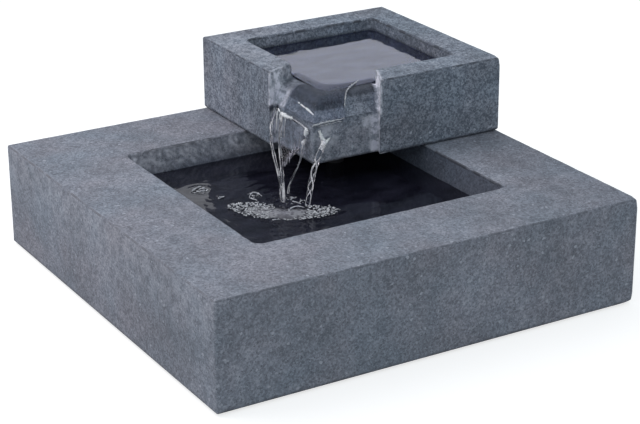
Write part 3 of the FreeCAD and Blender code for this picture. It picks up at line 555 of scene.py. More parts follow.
def bowl_marks(place):
    """How wet and how pale the bowl is at a place: wet where water stands or runs over it, damp and painted
    shade on the well's walls, most on the right wall, and painted shade in the nook at the left end of the
    lip.
    """
    x, y, z = (c / MM for c in place)
    ragged = noise.noise(place * 70.0)
    depth = min(x, y)
    pale = bowl_pale(place)
    in_notch = x < 90 and y < 90 and depth < 36 and max(x, y) < NOTCH_LENGTH + NOTCH_FLARE * depth + 1
    film = film_end(y, True)
    dry_side = smooth_step(x + 2 * ragged, film - 1, film + 4) if y < x else 0.0
    below_weir = smooth_step(-z, -151, -147)
    deep = 0.3 + 0.7 * smooth_step(z, 139, 148)
    flow = in_notch * deep * (1.0 - 0.85 * dry_side * below_weir) * smooth_step(z, 128, 135)
    in_well = BOWL_RIM < x < BOWL_FAR - BOWL_RIM and BOWL_RIM < y < BOWL_FAR - BOWL_RIM
    tide = BOWL_LEVEL + 1.5 * ragged
    # The well's walls are damp and carry painted shade, darker on the right wall
    wall_damp_and_shade = 0.25 + 0.25 * smooth_step(x, 140, 155)
    soaked_and_shade = max(1.0 - smooth_step(z, tide, tide + 4), wall_damp_and_shade) if in_well else 0.0
    # Painted shade in the nook at the left end, below the left lip
    left_nook_shade = smooth_step(y, *LEFT_END) * (y < 73.5 and x < RECESS)
    left_nook_shade *= smooth_step(z, 126, UNDER_LIPS) * (z < LIP_LEVEL - 0.5)
    behind_sheet = 0.04 * (x < RECESS and 16 < y < 64 and z < 130)
    return max(flow * (1 - pale), soaked_and_shade, left_nook_shade, behind_sheet), pale


def make_bowl_stone():
    stone = cast_stone("bowl_stone", BOWL_GREYS, BOWL_WET_SHADE, 120.0, 0.26, 0.18, 0.9)
    piece = fine_stone("upper_bowl", "bowl_stone", BOWL_GRID * MM, stone, "bowl")

    def sound(place, normal):
        return normal.z < -0.9

    def broken(place):
        return JAMB_WEAR * MM * broken_share(place) * (0.3 + 0.7 * smooth_step(min(place.xy), 0.0, 6 * MM))

    weather(piece.data, SKIN_WEAR * MM, BOWL_EDGE_WEAR * MM, sound, broken)
    knock_corner(piece.data, Vector((BOWL_FAR, 0.0, BOWL_TOP)) * MM, Vector((-1, 1, -1)), TOP_KNOCK * MM)
    set_marks(piece.data, bowl_marks)


# Still water

IMPACTS = [(-30.8, -3.7), (-16.5, 11.0), (-18.3, -25.0)]
# Bubbles beside the froth: place, reach and count
SPLASHES = [((-78.4, 58.0), 8.0, 26), ((-69.1, 36.3), 3.0, 7), ((-43.4, 23.4), 6.0, 12),
            ((-21.0, -6.0), 10.0, 24)]
FROTH_MIDDLE = Vector((-38.2, -19.6, 0))
FROTH_LONG = 50.0
FROTH_WIDE = 19.0
FROTH_BEND = 9.0
FROTH_TURN = math.radians(-37.5)
# Spacing of the two water grids, and how far each runs into the stone
POOL_GRID = 2.4
POOL_OVERLAP = 1.2
BOWL_WATER_GRID = 1.25
BOWL_OVERLAP = 0.8
# Where the bowl's water bends down to the weir, as a depth behind the corner, and how steeply
BOWL_BREAK = 39.0
BOWL_FALL = 0.32


def water_grid(low, high, level, step):
    """A level square grid between two corners, in millimetres."""
    shape = bmesh.new()
    count = round((high - low) / step)
    middle = (low + high) / 2 * MM
    half = (high - low) / 2 * MM
    bmesh.ops.create_grid(shape, x_segments=count, y_segments=count, size=half,
                          matrix=Matrix.Translation((middle, middle, level * MM)))
    return shape


def ring_wave(place, centre, length, reach, height):
    """Height of rings that spread from a centre and die away."""
    distance = math.hypot(place.x / MM - centre[0], place.y / MM - centre[1])
    return height * math.sin(2 * math.pi * distance / length) * math.exp(-distance / reach)


def make_pool_water():
    half = WELL_HALF - (WELL_TOP - POOL_LEVEL) * WELL_LEAN + POOL_OVERLAP
    shape = water_grid(-half, half, POOL_LEVEL, POOL_GRID)
    for vertex in shape.verts:
        lift = sum(ring_wave(vertex.co, centre, 11.0, 30.0, 0.35) for centre in IMPACTS)
        lift += sum(ring_wave(vertex.co, centre, 8.0, 14.0, 0.3) for centre, _, _ in SPLASHES)
        lift += 0.3 * noise.noise(vertex.co * 45.0)
        vertex.co.z += lift * MM
    piece = new_piece("pool_water", finished_mesh(shape, "pool_water"), pool_finish(), "basin")
    give_thickness(piece, 1.0 * MM)


def corner_depth(x, y):
    """Depth behind the notched corner, rounded over where its two faces meet."""
    softness = 8.0
    return -softness * math.log(math.exp(-x / softness) + math.exp(-y / softness))


def make_bowl_water():
    low = BOWL_RIM + (BOWL_TOP - BOWL_LEVEL) * BOWL_LEAN - BOWL_OVERLAP
    shape = water_grid(low, BOWL_FAR - low, BOWL_LEVEL, BOWL_WATER_GRID)
    for vertex in shape.verts:
        x, y = vertex.co.x / MM, vertex.co.y / MM
        open_side = 1.0 - smooth_step(max(x, y), NOTCH_LENGTH + 10, NOTCH_LENGTH + 18)
        near = max(0.0, BOWL_BREAK - corner_depth(x, y))
        dip = open_side * BOWL_FALL * near * near / (near + 2.0)
        vertex.co.z += (0.12 * noise.noise(vertex.co * 60.0) - dip) * MM
    piece = new_piece("bowl_water", finished_mesh(shape, "bowl_water"), bowl_finish(), "bowl")
    give_thickness(piece, 0.8 * MM)


# Falling water

# The film over the weir, as depths behind the faces and levels
FILM_PROFILE = [(36.5, 154.2), (33.5, 154.12), (30.5, 154.05), (27, 153.95), (24, 153.75), (21, 152.9),
                (18.2, 150.9), (15.8, 147.8), (14.2, 143.7), (11, 139.6), (7.6, 135.2), (6.9, 133.6)]
FILM_COLUMNS = 18
ROPE_ROUNDNESS = 4
ROPE_STEPS = 12


def film_end(depth, front):
    """How far the film reaches along a face, at one depth behind the faces."""
    if front:
        return 41.0 + 0.033 * max(0.0, depth - 7.0) ** 2
    return 60.0 + 4.0 * smooth_step(depth, 10.0, 30.0)


def make_weir_film():
    """The film that runs over the weir and the apron to the lip, mitred at the corner."""
    shape = bmesh.new()
    for front in (False, True):
        spine = [shape.verts.new((depth * MM, depth * MM, level * MM)) for depth, level in FILM_PROFILE]
        edges = [shape.edges.new(pair) for pair in zip(spine, spine[1:])]
        for column in range(1, FILM_COLUMNS + 1):
            moved = bmesh.ops.extrude_edge_only(shape, edges=edges)["geom"]
            edges = [item for item in moved if isinstance(item, bmesh.types.BMEdge)]
            row = sorted((item for item in moved if isinstance(item, bmesh.types.BMVert)),
                         key=lambda v: -v.co.z)
            for vertex, (depth, level) in zip(row, FILM_PROFILE):
                along = depth + (film_end(depth, front) - depth) * column / FILM_COLUMNS
                streak = noise.noise(Vector((along * 0.35, level * 0.05, front * 7.0)))
                out = (depth - 0.3 * (1 + streak)) * MM
                vertex.co = (along * MM, out, level * MM) if front else (out, along * MM, level * MM)
            edges = [edge for edge in edges if all(v in row for v in edge.verts)]
    bmesh.ops.remove_doubles(shape, verts=shape.verts, dist=0.01 * MM)
    bmesh.ops.recalc_face_normals(shape, faces=shape.faces)
    film = clear_finish("film_water", 1.03, 90.0, (2.0, 2.0, 0.3), 0.0003)
    piece = new_piece("weir_film", finished_mesh(shape, "weir_film"), film, "bowl")
    give_thickness(piece, 0.4 * MM)


def rope_of_water(name, points, finish, lumps=0.25, spray=0.0):
    """A tapering rope through points of place and radius in millimetres, lumpy and ragged with spray."""
    route = bpy.data.curves.new(name + "_route", "CURVE")
    route.dimensions = "3D"
    route.bevel_depth = MM
    route.bevel_resolution = ROPE_ROUNDNESS
    route.resolution_u = ROPE_STEPS
    route.use_fill_caps = True
    spline = route.splines.new("NURBS")
    spline.points.add(len(points) - 1)
    for point, (place, radius) in zip(spline.points, points):
        point.co = (*(Vector(place) * MM), 1.0)
        point.radius = radius
    spline.order_u = 4
    spline.use_endpoint_u = True
    guide = bpy.data.objects.new(name + "_guide", route)
    bpy.context.collection.objects.link(guide)
    mesh = evaluated_mesh(guide, name)
    bpy.data.objects.remove(guide)
    for vertex, normal in [(v, v.normal.copy()) for v in mesh.vertices]:
        x, y, z = vertex.co / MM
        swell = noise.noise(Vector((x * 0.25, y * 0.25, z * 0.13)))
        burst = max(0.0, noise.noise(Vector((x * 0.7, y * 0.7, z * 0.5))))
        vertex.co += normal * (swell * lumps + burst * spray) * MM
    return new_piece(name, mesh, finish)


RIM_STEPS = 4
STRAND_ACROSS = Vector((0.707, -0.707, 0.0))
STRAND_OUT = Vector((-0.707, -0.707, 0.0))


def bright_rim(points, twist, phase, thin):
    """The thin bright rim that winds along a strand, a painted highlight: its places and radii."""
    rim = []
    for number, ((place, radius), (after, _)) in enumerate(zip(points, points[1:])):
        for step in range(RIM_STEPS):
            spot = Vector(place).lerp(Vector(after), step / RIM_STEPS)
            turn = phase + twist * (number + step / RIM_STEPS) + 1.4 * noise.noise(spot * 0.11)
            away = 0.95 * math.cos(turn) * STRAND_ACROSS + 0.5 * math.sin(turn) * STRAND_OUT
            swell = 1.0 + 1.3 * noise.noise(spot * 0.23 + Vector((phase, 0, 0)))
            rim.append((spot + away * radius * (0.9 + 0.4 * noise.noise(spot * 0.3)), thin * swell))
    rim.append((points[-1][0], thin))
    return rim


# Turn of the bright rims from point to point of a strand
STRAND_TWIST = {"left_outer": 0.8, "left_inner": 0.7, "middle": 1.5, "right": 2.4}
# Radii of the two bright rims of each strand, painted highlights
STRAND_RIMS = {"left_outer": (0.36, 0.2), "left_inner": (0.44, 0.24), "middle": (0.3, 0.15),
               "right": (0.4, 0.36)}
# Strands and white runs, as places and radii in millimetres; the white runs are white water with painted
# highlights
STRANDS = {
    "left_outer": [((6.4, 72, 131.5), 1.0), ((3.6, 71.6, 124.5), 1.2), ((-2.2, 66.7, 117.1), 1.0),
                   ((-8.4, 54.7, 107.8), 1.0), ((-12.9, 40.7, 97.9), 1.2), ((-17.4, 26.4, 90.2), 1.3),
                   ((-23.9, 10, 82.9), 1.4), ((-30.8, -3.7, 73.6), 1.7)],
    "left_inner": [((6.0, 60, 131), 1.0), ((2, 54, 126), 1.2), ((-2.2, 50, 119.3), 1.0),
                   ((-6.9, 42, 109.5), 1.1), ((-11.2, 32, 100.3), 1.2), ((-17.1, 20, 92.2), 1.3),
                   ((-23.1, 8, 83.4), 1.5), ((-30.2, -6, 73.6), 1.7)],
    "middle": [((4.6, 16.6, 119), 1.0), ((4.2, 18.4, 115), 1.1), ((3.4, 17.4, 112), 1.0),
               ((-1.8, 15, 99.2), 0.7), ((-9.8, 13.5, 88.2), 0.7), ((-14.2, 13, 80.9), 0.9),
               ((-16.5, 11, 73.6), 1.1)],
    "right": [((15.6, 3.8, 119.5), 1.5), ((14.6, 2.4, 118), 1.9), ((12.0, 0.2, 115.6), 2.2),
              ((0.3, -9, 106.4), 2.4), ((-6.3, -15, 99.5), 2.4), ((-10.7, -19, 92.5), 2.5),
              ((-14.8, -22.6, 83), 2.3), ((-18.3, -25, 73.6), 2.5)],
}
WHITE_RUNS = {
    "lip_drop": [((6, 66.4, 132.4), 0.3), ((5.6, 64, 131.4), 1.0), ((5.4, 62.4, 130.2), 0.5)],
    "lip_run": [((5.4, 60.6, 129.8), 0.5), ((5.4, 58, 129.6), 1.7), ((5.4, 55, 129.6), 1.3),
                ((5.4, 52.6, 129.2), 1.9), ((5.4, 50, 129.8), 0.9), ((5.4, 47, 129.6), 1.3),
                ((5.6, 43.6, 130.2), 0.5), ((5.8, 40, 130.4), 0.3)],
    "corner_drop": [((5.6, 17, 128.8), 0.5), ((5.2, 15.6, 127.4), 1.9), ((5.2, 15.4, 125), 2.0),
                    ((5.2, 15.8, 122.8), 0.9), ((5.1, 17, 120.6), 0.35)],
    "corner_splash": [((5, 18.6, 118.2), 0.5), ((4.8, 19.2, 116.6), 1.5), ((4.7, 20, 114.8), 1.1),
                      ((4.6, 20.6, 112.6), 0.4)],
    "right_arm": [((12, 5.4, 128.6), 0.35), ((13.2, 5, 124.6), 1.1), ((14.8, 4.6, 120.6), 1.5),
                  ((15.8, 4.2, 117.8), 2.2), ((15.0, 3.4, 115.4), 2.5), ((13.8, 2.2, 113), 1.6),
                  ((12.2, 0.8, 111), 0.8)],
    "right_arm_short": [((23, 5.6, 120), 0.3), ((21, 5, 118.8), 0.8), ((18.8, 4.4, 117.4), 1.3),
                        ((16, 3.6, 115.6), 1.4), ((14, 1.8, 113), 0.7)],
}
# Bright dashes at the foot of the left apron, painted highlights on the film
FOOT_DASHES = {
    "foot_drop": [((13.3, 43, 143.6), 0.4), ((13.2, 42, 143.4), 0.75), ((13.2, 41, 143.2), 0.4)],
    "foot_dash": [((13.1, 38.4, 143), 0.4), ((13, 36, 142.8), 0.85), ((13, 33.4, 142.5), 0.65),
                  ((12.9, 31, 142.3), 0.4)],
    "foot_run": [((12.9, 29.8, 142.4), 0.5), ((12.8, 27, 142.2), 0.95), ((12.7, 22, 141.3), 0.7),
                 ((12.6, 18, 140.5), 0.9), ((12.6, 15.6, 140), 0.5)],
}
# Faint lines where the film ends on the weir and along both lips: beads of water with painted highlights
FILM_LINES = {
    "film_edge": [((72, 38.4, 154.4), 0.25), ((63.6, 33.2, 154.4), 0.5), ((54, 26, 154.2), 0.55),
                  ((48, 20, 152.7), 0.5), ((45, 16, 149), 0.4), ((43.4, 14.2, 144.4), 0.25),
                  ((42.6, 12.6, 141.6), 0.1)],
    "front_lip_run": [((5.4, 6.4, 133.4), 0.4), ((9, 6.2, 134.6), 0.9), ((12, 6.2, 133.6), 0.4),
                      ((15, 6.2, 135.2), 1.0), ((18.5, 6.2, 134), 0.4), ((22, 6.3, 135.4), 1.0),
                      ((25.5, 6.3, 134.2), 0.4), ((29, 6.4, 135.2), 0.9), ((33, 6.4, 134.2), 0.3),
                      ((38, 6.6, 135), 0.2)],
    "front_lip_second": [((12, 6, 131.8), 0.2), ((15, 6, 132.6), 0.45), ((18, 6, 131.6), 0.25),
                         ((22, 6.1, 133), 0.5), ((26, 6.2, 132.2), 0.2), ((31, 6.3, 133.4), 0.45),
                         ((36, 6.4, 132.6), 0.15)],
    "left_lip_line": [((5.8, 41, 130.2), 0.3), ((6, 34, 130), 0.5), ((6, 27, 129.6), 0.45),
                      ((6, 21, 128.6), 0.5), ((5.8, 17.4, 128), 0.6)],
}
# Drips below the left lip: their top, and each one's place along it, length and radius
DRIP_LEVEL = 129.6
LIP_DRIPS = [(67.0, 17.0, 0.7), (61.5, 6.0, 0.6), (58.0, 22.0, 0.6), (52.0, 9.0, 0.5)]
CURTAIN_LEFT = [(5.6, 60, 130.6), (1.2, 54, 124.6), (-2.2, 49, 119), (-6.9, 41, 109.5), (-11.2, 31, 100.3),
                (-13.6, 25, 96.4)]
CURTAIN_RIGHT = [(5.2, 18, 129), (4.8, 18.1, 125), (4.6, 18.2, 122), (4.4, 18.3, 119), (4.2, 18.4, 116),
                 (2.8, 17.6, 112)]
# Streaks down the curtain and the churned edge at its foot, as places and radii
CURTAIN_STREAKS = {
    "curtain_streak_1": [((4.2, 55, 128.5), 0.3), ((1.0, 50.4, 124.3), 0.6), ((-2.2, 46, 118.7), 0.5),
                         ((-4, 43.5, 114.5), 0.2)],
    "curtain_streak_2": [((1.4, 47, 126), 0.2), ((0.6, 46.8, 122.6), 0.6), ((-1.4, 42.9, 118.4), 0.6),
                         ((-3, 39.5, 114), 0.2)],
    "curtain_streak_3": [((3.4, 23.5, 118.4), 0.2), ((2, 22.6, 114), 0.6), ((0.2, 21, 109), 0.5),
                         ((-1, 19.9, 105.5), 0.2)],
    "curtain_streak_4": [((1.4, 28.5, 115.5), 0.2), ((-1, 25.8, 110), 0.5), ((-2.4, 24, 106), 0.2)],
    "curtain_edge": [((-13.6, 25, 96.2), 0.5), ((-10.2, 25.2, 100), 0.7), ((-6.4, 24.6, 103.6), 0.5),
                     ((-3, 23.4, 106.6), 0.6), ((0.6, 21, 109.6), 0.4)],
    "curtain_foot_1": [((-11, 28.9, 100.5), 0.4), ((-13.3, 25.2, 96.8), 1.2), ((-15.6, 21.5, 93), 0.5)],
    "curtain_foot_2": [((-9.2, 28.4, 101.9), 0.5), ((-11.2, 24.9, 98.6), 1.0),
                       ((-13.3, 21.6, 95.2), 0.6)],
    "curtain_foot_3": [((-7.1, 28, 103.7), 0.4), ((-9.2, 24.8, 100.4), 1.2), ((-11.4, 21.6, 97), 0.5)],
    "curtain_foot_4": [((-4.9, 27.7, 105.6), 0.3), ((-7.1, 23.8, 101.9), 0.9), ((-9.2, 20.5, 98.5), 0.3)],
    "curtain_foot_5": [((-2.5, 26.9, 107.5), 0.3), ((-4.5, 24.2, 104.5), 0.7),
                       ((-6.5, 22.1, 101.8), 0.3)],
    "curtain_foot_6": [((0.2, 26.5, 109.8), 0.3), ((-1.5, 24, 107.2), 0.6), ((-3, 22, 104.9), 0.3)],
}


def make_curtain(finish):
    """The thin sheet that hangs from the left lip between two strands."""
    shape = bmesh.new()
    chains = []
    for route in (CURTAIN_LEFT, CURTAIN_RIGHT):
        row = [shape.verts.new(Vector(place) * MM) for place in route]
        chains += [shape.edges.new(pair) for pair in zip(row, row[1:])]
    across = bmesh.ops.bridge_loops(shape, edges=chains)["edges"]
    bmesh.ops.subdivide_edges(shape, edges=across, cuts=11, use_grid_fill=True)
    bmesh.ops.subdivide_edges(shape, edges=shape.edges, cuts=2, use_grid_fill=True)
    for vertex in shape.verts:
        _, y, z = vertex.co / MM
        fine = noise.noise(Vector((y * 0.5, z * 0.1, 5.0)))
        fold = noise.noise(Vector((y * 0.22, z * 0.05, 2.0))) + 0.5 * fine
        swing = 0.4 + 1.6 * smooth_step(-z, -125, -95)
        vertex.co += Vector((-0.7, -0.5, 0.0)) * fold * swing * MM
    bmesh.ops.recalc_face_normals(shape, faces=shape.faces)
    piece = new_piece("curtain", finished_mesh(shape, "curtain"), finish)
    give_thickness(piece, 0.5 * MM)
    return piece


def make_falling_water():
    clear = clear_finish("falling_water", 1.22, 160.0, (1.0, 1.0, 0.35), 0.0004)
    sheet = clear_finish("curtain_water", 1.15, 70.0, (1.0, 1.0, 0.12), 0.0003)
    # White water and painted highlights of glinting water
    white = white_finish("white_water_and_glints", 0.06, 420.0, (0.8, 0.82, 0.86), (1.0, 1.0, 1.0))
    # Painted highlights: white rims along the strands
    bright = white_finish("strand_highlights", 0.4, 85.0, (0.14, 0.145, 0.17), (1.0, 1.0, 1.0))
    for name, points in STRANDS.items():
        ropes = [rope_of_water(f"strand_{name}", points, clear, 0.4, 0.3)]
        for number, thin in enumerate(STRAND_RIMS[name]):
            rim = bright_rim(points, STRAND_TWIST[name], number * math.pi, thin)
            ropes.append(rope_of_water(f"strand_{name}_rim_{number + 1}", rim, bright, 0.1, 0.45))
        for rope in ropes:
            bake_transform(rope)
    sheets = [make_curtain(sheet)]
    churned = white_finish("curtain_foot", 0.35, 240.0, (0.07, 0.068, 0.082), (0.42, 0.41, 0.47))
    streaked = white_finish("curtain_streaks", 0.5, 120.0, (0.12, 0.125, 0.14), (0.5, 0.51, 0.56))
    for name, points in CURTAIN_STREAKS.items():
        finish = streaked if "streak" in name else churned
        sheets.append(rope_of_water(name, points, finish, 0.35, 0.5))
    for piece in sheets:
        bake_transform(piece)
    for name, points in WHITE_RUNS.items():
        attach(rope_of_water(name, points, white, 0.4, 2.0), "bowl")
    for name, points in FOOT_DASHES.items():
        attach(rope_of_water(name, points, white, 0.2, 0.5), "bowl")
    # Painted highlights along the film's edge and the lips
    faint = white_finish("film_line", 0.4, 300.0, (0.36, 0.37, 0.4), (0.72, 0.74, 0.78))
    for name, points in FILM_LINES.items():
        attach(rope_of_water(name, points, faint, 0.3, 1.2), "bowl")
    for number, (along, length, radius) in enumerate(LIP_DRIPS, 1):
        drip = [((5.6, along, DRIP_LEVEL), radius),
                ((5.0, along + 0.4, DRIP_LEVEL - length * 0.5), radius * 0.8),
                ((4.2, along, DRIP_LEVEL - length), radius * 0.4)]
        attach(rope_of_water(f"lip_drip_{number}", drip, white, 0.2, 0.5), "bowl")


# Froth

FROTH_SEGMENTS = 96
FROTH_RINGS = 18
FROTH_RING_WIDTH = 0.052
BUBBLE_TRIES = 1500
BUBBLE_SEED = 7
BUBBLE_SHAPE = (1.7, 1.0, 0.55, 1.0)
# Bubbles stay off water that is calmer than this
CALM = 0.14


def churn_at(place):
    """Height of the churned water at a place, as a share."""
    return abs(noise.noise(place * 0.16)) + 0.6 * abs(noise.noise(place * 0.34))


def in_froth(angle, share):
    """A place in the froth's oval at an angle and a share of its radius."""
    along = math.cos(angle) * share
    across = FROTH_WIDE * math.sin(angle) * share - FROTH_BEND * (1.0 - along * along)
    return FROTH_MIDDLE + Matrix.Rotation(FROTH_TURN, 3, "Z") @ Vector((FROTH_LONG * along, across, 0.0))


def lobe_share(angle, share):
    """1 at the two churned ends of the froth, 0 in its smooth middle."""
    return smooth_step(abs(math.cos(angle) * share - 0.12), 0.2, 0.42)


def make_froth():
    """The churned oval where the strands meet the pool."""
    shape = bmesh.new()
    bmesh.ops.create_circle(shape, cap_ends=True, segments=FROTH_SEGMENTS, radius=1.0)
    for _ in range(FROTH_RINGS):
        bmesh.ops.inset_region(shape, faces=[max(shape.faces, key=lambda f: len(f.verts))],
                               thickness=FROTH_RING_WIDTH, use_even_offset=True)
    bmesh.ops.poke(shape, faces=[max(shape.faces, key=lambda f: len(f.verts))])
    churned = []
    lobes = []
    for vertex in shape.verts:
        share = math.hypot(vertex.co.x, vertex.co.y)
        angle = math.atan2(vertex.co.y, vertex.co.x)
        ragged = 1.0 + 0.16 * noise.noise(Vector((math.cos(angle) * 2.2, math.sin(angle) * 2.2, 3.0)))
        place = in_froth(angle, share * ragged)
        churn = churn_at(place)
        lobe = lobe_share(angle, share)
        height = 1.6 + 2.6 * churn * (0.35 + 0.65 * lobe) * (1.0 - smooth_step(share, 0.75, 1.0))
        level = POOL_LEVEL + height - 2.6 * smooth_step(share, 0.93, 1.0)
        vertex.co = Vector((place.x, place.y, level)) * MM
        churned.append(1.0 - smooth_step(share, 0.92, 1.0))
        lobes.append(lobe)
    mesh = finished_mesh(shape, "froth")
    set_attribute(mesh, "froth", churned)
    set_attribute(mesh, "lobe", lobes)
    piece = new_piece("froth", mesh, froth_finish(), "basin")
    give_thickness(piece, 0.8 * MM)


# Crests thrown up by drops, as places along each one, pale as painted highlights
CRESTS = [[(-86, 58.7), (-79.3, 62.9), (-73.7, 64.9)], [(-79, 59.2), (-74.2, 59.7), (-72.1, 56.2)],
          [(-84, 55), (-79, 52), (-75, 53.5)], [(-74.7, 30.8), (-71.7, 31.1), (-68.2, 32.4)],
          [(-50.1, 19.9), (-44.6, 26.9), (-40.9, 27.2), (-39.7, 22.2), (-39.4, 16.7)],
          [(-50.7, 17.7), (-50.1, 12.7), (-48.2, 9.9)], [(-22.4, -4.3), (-18.3, 0.5), (-18.4, -2.5)],
          [(-22.9, -8.6), (-22, -13.1), (-19.7, -16.9)],
          [(-39.8, -28.2), (-33.7, -22.5), (-27.9, -20.4), (-24, -22.3), (-21.5, -25.9)]]


def make_bubbles():
    """Small bubbles over the froth, thickest at its rim, and beside it."""
    draw = random.Random(BUBBLE_SEED)
    shape = bmesh.new()
    spots = []
    for _ in range(BUBBLE_TRIES):
        angle = draw.uniform(0, 2 * math.pi)
        share = math.sqrt(draw.uniform(0.0, 1.0)) * 0.97
        radius = draw.uniform(0.22, 0.8)
        near_rim = smooth_step(share, 0.78, 0.9) * (math.sin(angle) < -0.5)
        if max(lobe_share(angle, share), 0.8 * near_rim) > draw.uniform(0.1, 0.9):
            spots.append((in_froth(angle, share), radius, 0.9))
    for (x, y), reach, count in SPLASHES:
        for _ in range(count):
            angle = draw.uniform(0, 2 * math.pi)
            away = reach * math.sqrt(draw.random())
            spots.append((Vector((x + away * math.cos(angle), y + away * math.sin(angle), 0.0)),
                          draw.uniform(0.3, 0.8), 0.0))
    for place, radius, lift in spots:
        churn = churn_at(place)
        if churn < CALM:
            continue
        level = POOL_LEVEL + 0.2 + lift * (1 + 2.4 * churn)
        seat = Matrix.Translation(Vector((place.x, place.y, level)) * MM)
        turn = Matrix.Rotation(draw.uniform(0, math.pi), 4, "Z")
        bmesh.ops.create_icosphere(shape, subdivisions=1, radius=radius * MM,
                                   matrix=seat @ turn @ Matrix.Diagonal(BUBBLE_SHAPE))
    white = white_finish("bubbles", 0.2, 300.0, (0.36, 0.37, 0.4), (0.9, 0.91, 0.95))
    new_piece("bubbles", finished_mesh(shape, "bubbles"), white, "basin")


def make_crests():
    """Low curved crests where drops fall back into the pool, pale with painted highlights."""
    white = white_finish("crest_water_and_glints", 0.3, 380.0, (0.4, 0.41, 0.45), (0.8, 0.81, 0.86))
    for number, route in enumerate(CRESTS, 1):
        points = []
        for step, (x, y) in enumerate(route):
            rise = math.sin(math.pi * (step + 0.5) / len(route))
            points.append(((x, y, POOL_LEVEL + 0.1 + 1.4 * rise), 0.15 + 0.4 * rise))
        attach(rope_of_water(f"crest_{number}", points, white, 0.3, 0.8), "basin")


# The pump and the small parts keep their solids and get their finishes

def dress_solids():
    black_rubber = rubber("black_rubber", (0.016, 0.016, 0.017))
    clear_rubber = rubber("clear_rubber", (0.42, 0.44, 0.44))
    black_plastic = moulded_plastic("black_plastic", (0.02, 0.021, 0.023))
    grey_plastic = moulded_plastic("grey_plastic", (0.14, 0.15, 0.16))
    white_ceramic = ceramic("white_ceramic", (0.72, 0.7, 0.66), 0.2)
    finishes = {
        "basin_feet": black_rubber, "bowl_pads": clear_rubber, "inlet_gasket": black_rubber,
        "housing_seal": black_rubber, "suction_cups": clear_rubber, "riser_hose": black_rubber,
        "cable_gland": black_rubber, "front_shaft_bush": black_rubber, "rear_shaft_bush": black_rubber,
        "inlet_fitting": black_plastic, "inlet_lock_nut": black_plastic, "pump_housing": black_plastic,
        "impeller_cover": black_plastic, "intake_cover": black_plastic,
        "flow_dial": grey_plastic, "impeller": grey_plastic,
        "potting_resin": moulded_plastic("potting_resin", (0.03, 0.028, 0.026), 0.25),
        "stator_core": metal("steel_laminations", (0.42, 0.43, 0.45), 0.45, (0.1, 0.1, 30.0)),
        "stator_coils": metal("copper_wire", (0.72, 0.32, 0.14), 0.35, (0.2, 40.0, 0.2)),
        "rotor_magnet": ceramic("ferrite", (0.045, 0.045, 0.048), 0.5),
        "impeller_shaft": white_ceramic,
        "filter_sponge": open_foam("filter_foam"),
    }
    for node, finish in finishes.items():
        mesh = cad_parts[node].data
        mesh.materials.clear()
        mesh.materials.append(finish)


# Floor, light and camera

def seen_directly(tree):
    """1 for rays that the camera, a mirror or glass sends out, 0 for the light that falls on things."""
    path = tree.nodes.new("ShaderNodeLightPath")
    found = path.outputs["Is Camera Ray"]
    for other in ("Is Glossy Ray", "Is Transmission Ray"):
        larger = tree.nodes.new("ShaderNodeMath")
        larger.operation = "MAXIMUM"
        tree.links.new(found, larger.inputs[0])
        tree.links.new(path.outputs[other], larger.inputs[1])
        found = larger.outputs[0]
    return found


def switch(tree, factor, low, high):
    node = tree.nodes.new("ShaderNodeMix")
    node.inputs[2].default_value = low
    node.inputs[3].default_value = high
    tree.links.new(factor, node.inputs[0])
    return node.outputs[0]


def make_floor():
    shape = bmesh.new()
    bmesh.ops.create_grid(shape, x_segments=1, y_segments=1, size=FLOOR_HALF)
    paper = bpy.data.materials.new("white_paper")
    paper.use_nodes = True
    tree = paper.node_tree
    shader = tree.nodes["Principled BSDF"]
    shader.inputs["Base Color"].default_value = (FLOOR_TONE, FLOOR_TONE, FLOOR_TONE, 1.0)
    shader.inputs["Roughness"].default_value = 1.0
    shader.inputs["Specular IOR Level"].default_value = 0.0
    shader.inputs["Emission Color"].default_value = (1.0, 1.0, 1.0, 1.0)
    tree.links.new(switch(tree, seen_directly(tree), 0.0, FLOOR_LIFT), shader.inputs["Emission Strength"])
    new_piece("floor", finished_mesh(shape, "floor"), paper)


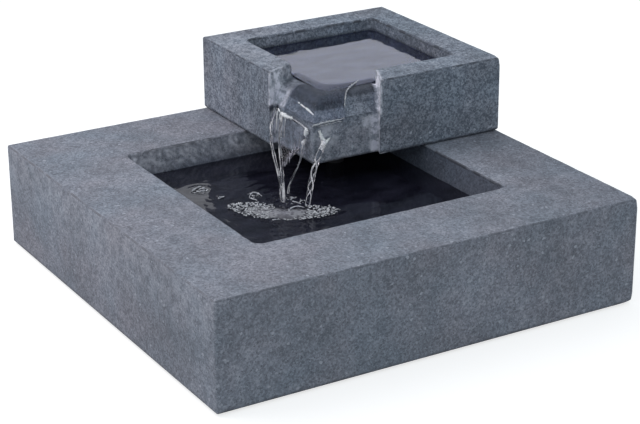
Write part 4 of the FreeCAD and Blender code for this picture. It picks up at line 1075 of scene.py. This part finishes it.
def make_light():
    world = bpy.data.worlds.new("studio")
    bpy.context.scene.world = world
    world.use_nodes = True
    tree = world.node_tree
    sky = tree.nodes["Background"]
    sky.inputs["Color"].default_value = (*SKY_COLOUR, 1.0)
    sky.inputs["Strength"].default_value = SKY_STRENGTH
    backdrop = tree.nodes.new("ShaderNodeBackground")
    backdrop.inputs["Color"].default_value = (*MIRRORED_SKY, 1.0)
    choice = tree.nodes.new("ShaderNodeMixShader")
    tree.links.new(seen_directly(tree), choice.inputs["Fac"])
    tree.links.new(sky.outputs["Background"], choice.inputs[1])
    tree.links.new(backdrop.outputs["Background"], choice.inputs[2])
    tree.links.new(choice.outputs["Shader"], tree.nodes["World Output"].inputs["Surface"])
    lamp = bpy.data.lights.new("soft_box", "AREA")
    lamp.energy = LAMP_WATTS
    lamp.color = LAMP_COLOUR
    lamp.size = LAMP_SIZE
    box = bpy.data.objects.new("soft_box", lamp)
    box.location = LAMP_PLACE
    box.rotation_euler = LAMP_PLACE.to_track_quat("Z", "Y").to_euler()
    bpy.context.collection.objects.link(box)


def make_camera():
    lens = bpy.data.cameras.new("camera")
    lens.sensor_width = SENSOR_WIDTH
    lens.sensor_fit = "HORIZONTAL"
    lens.lens = FOCAL_PIXELS * SENSOR_WIDTH / PHOTO_PIXELS
    camera = bpy.data.objects.new("camera", lens)
    bpy.context.collection.objects.link(camera)
    level = math.cos(CAMERA_ELEVATION)
    back = Vector((math.sin(CAMERA_AZIMUTH) * level, -math.cos(CAMERA_AZIMUTH) * level,
                   math.sin(CAMERA_ELEVATION)))
    right = Vector((0.0, 0.0, 1.0)).cross(back).normalized()
    upright = Matrix((right, back.cross(right), back)).transposed()
    tilt = Matrix.Rotation(CAMERA_ROLL, 3, "Z")
    camera.matrix_world = Matrix.Translation(CAMERA_PLACE) @ (upright @ tilt).to_4x4()
    bpy.context.scene.camera = camera


make_camera()
make_floor()
make_light()
make_falling_water()
make_crests()
make_froth()
make_bubbles()
make_pool_water()
make_bowl_water()
make_weir_film()
make_basin_stone()
make_bowl_stone()
dress_solids()
bpy.context.scene.view_settings.view_transform = "Standard"
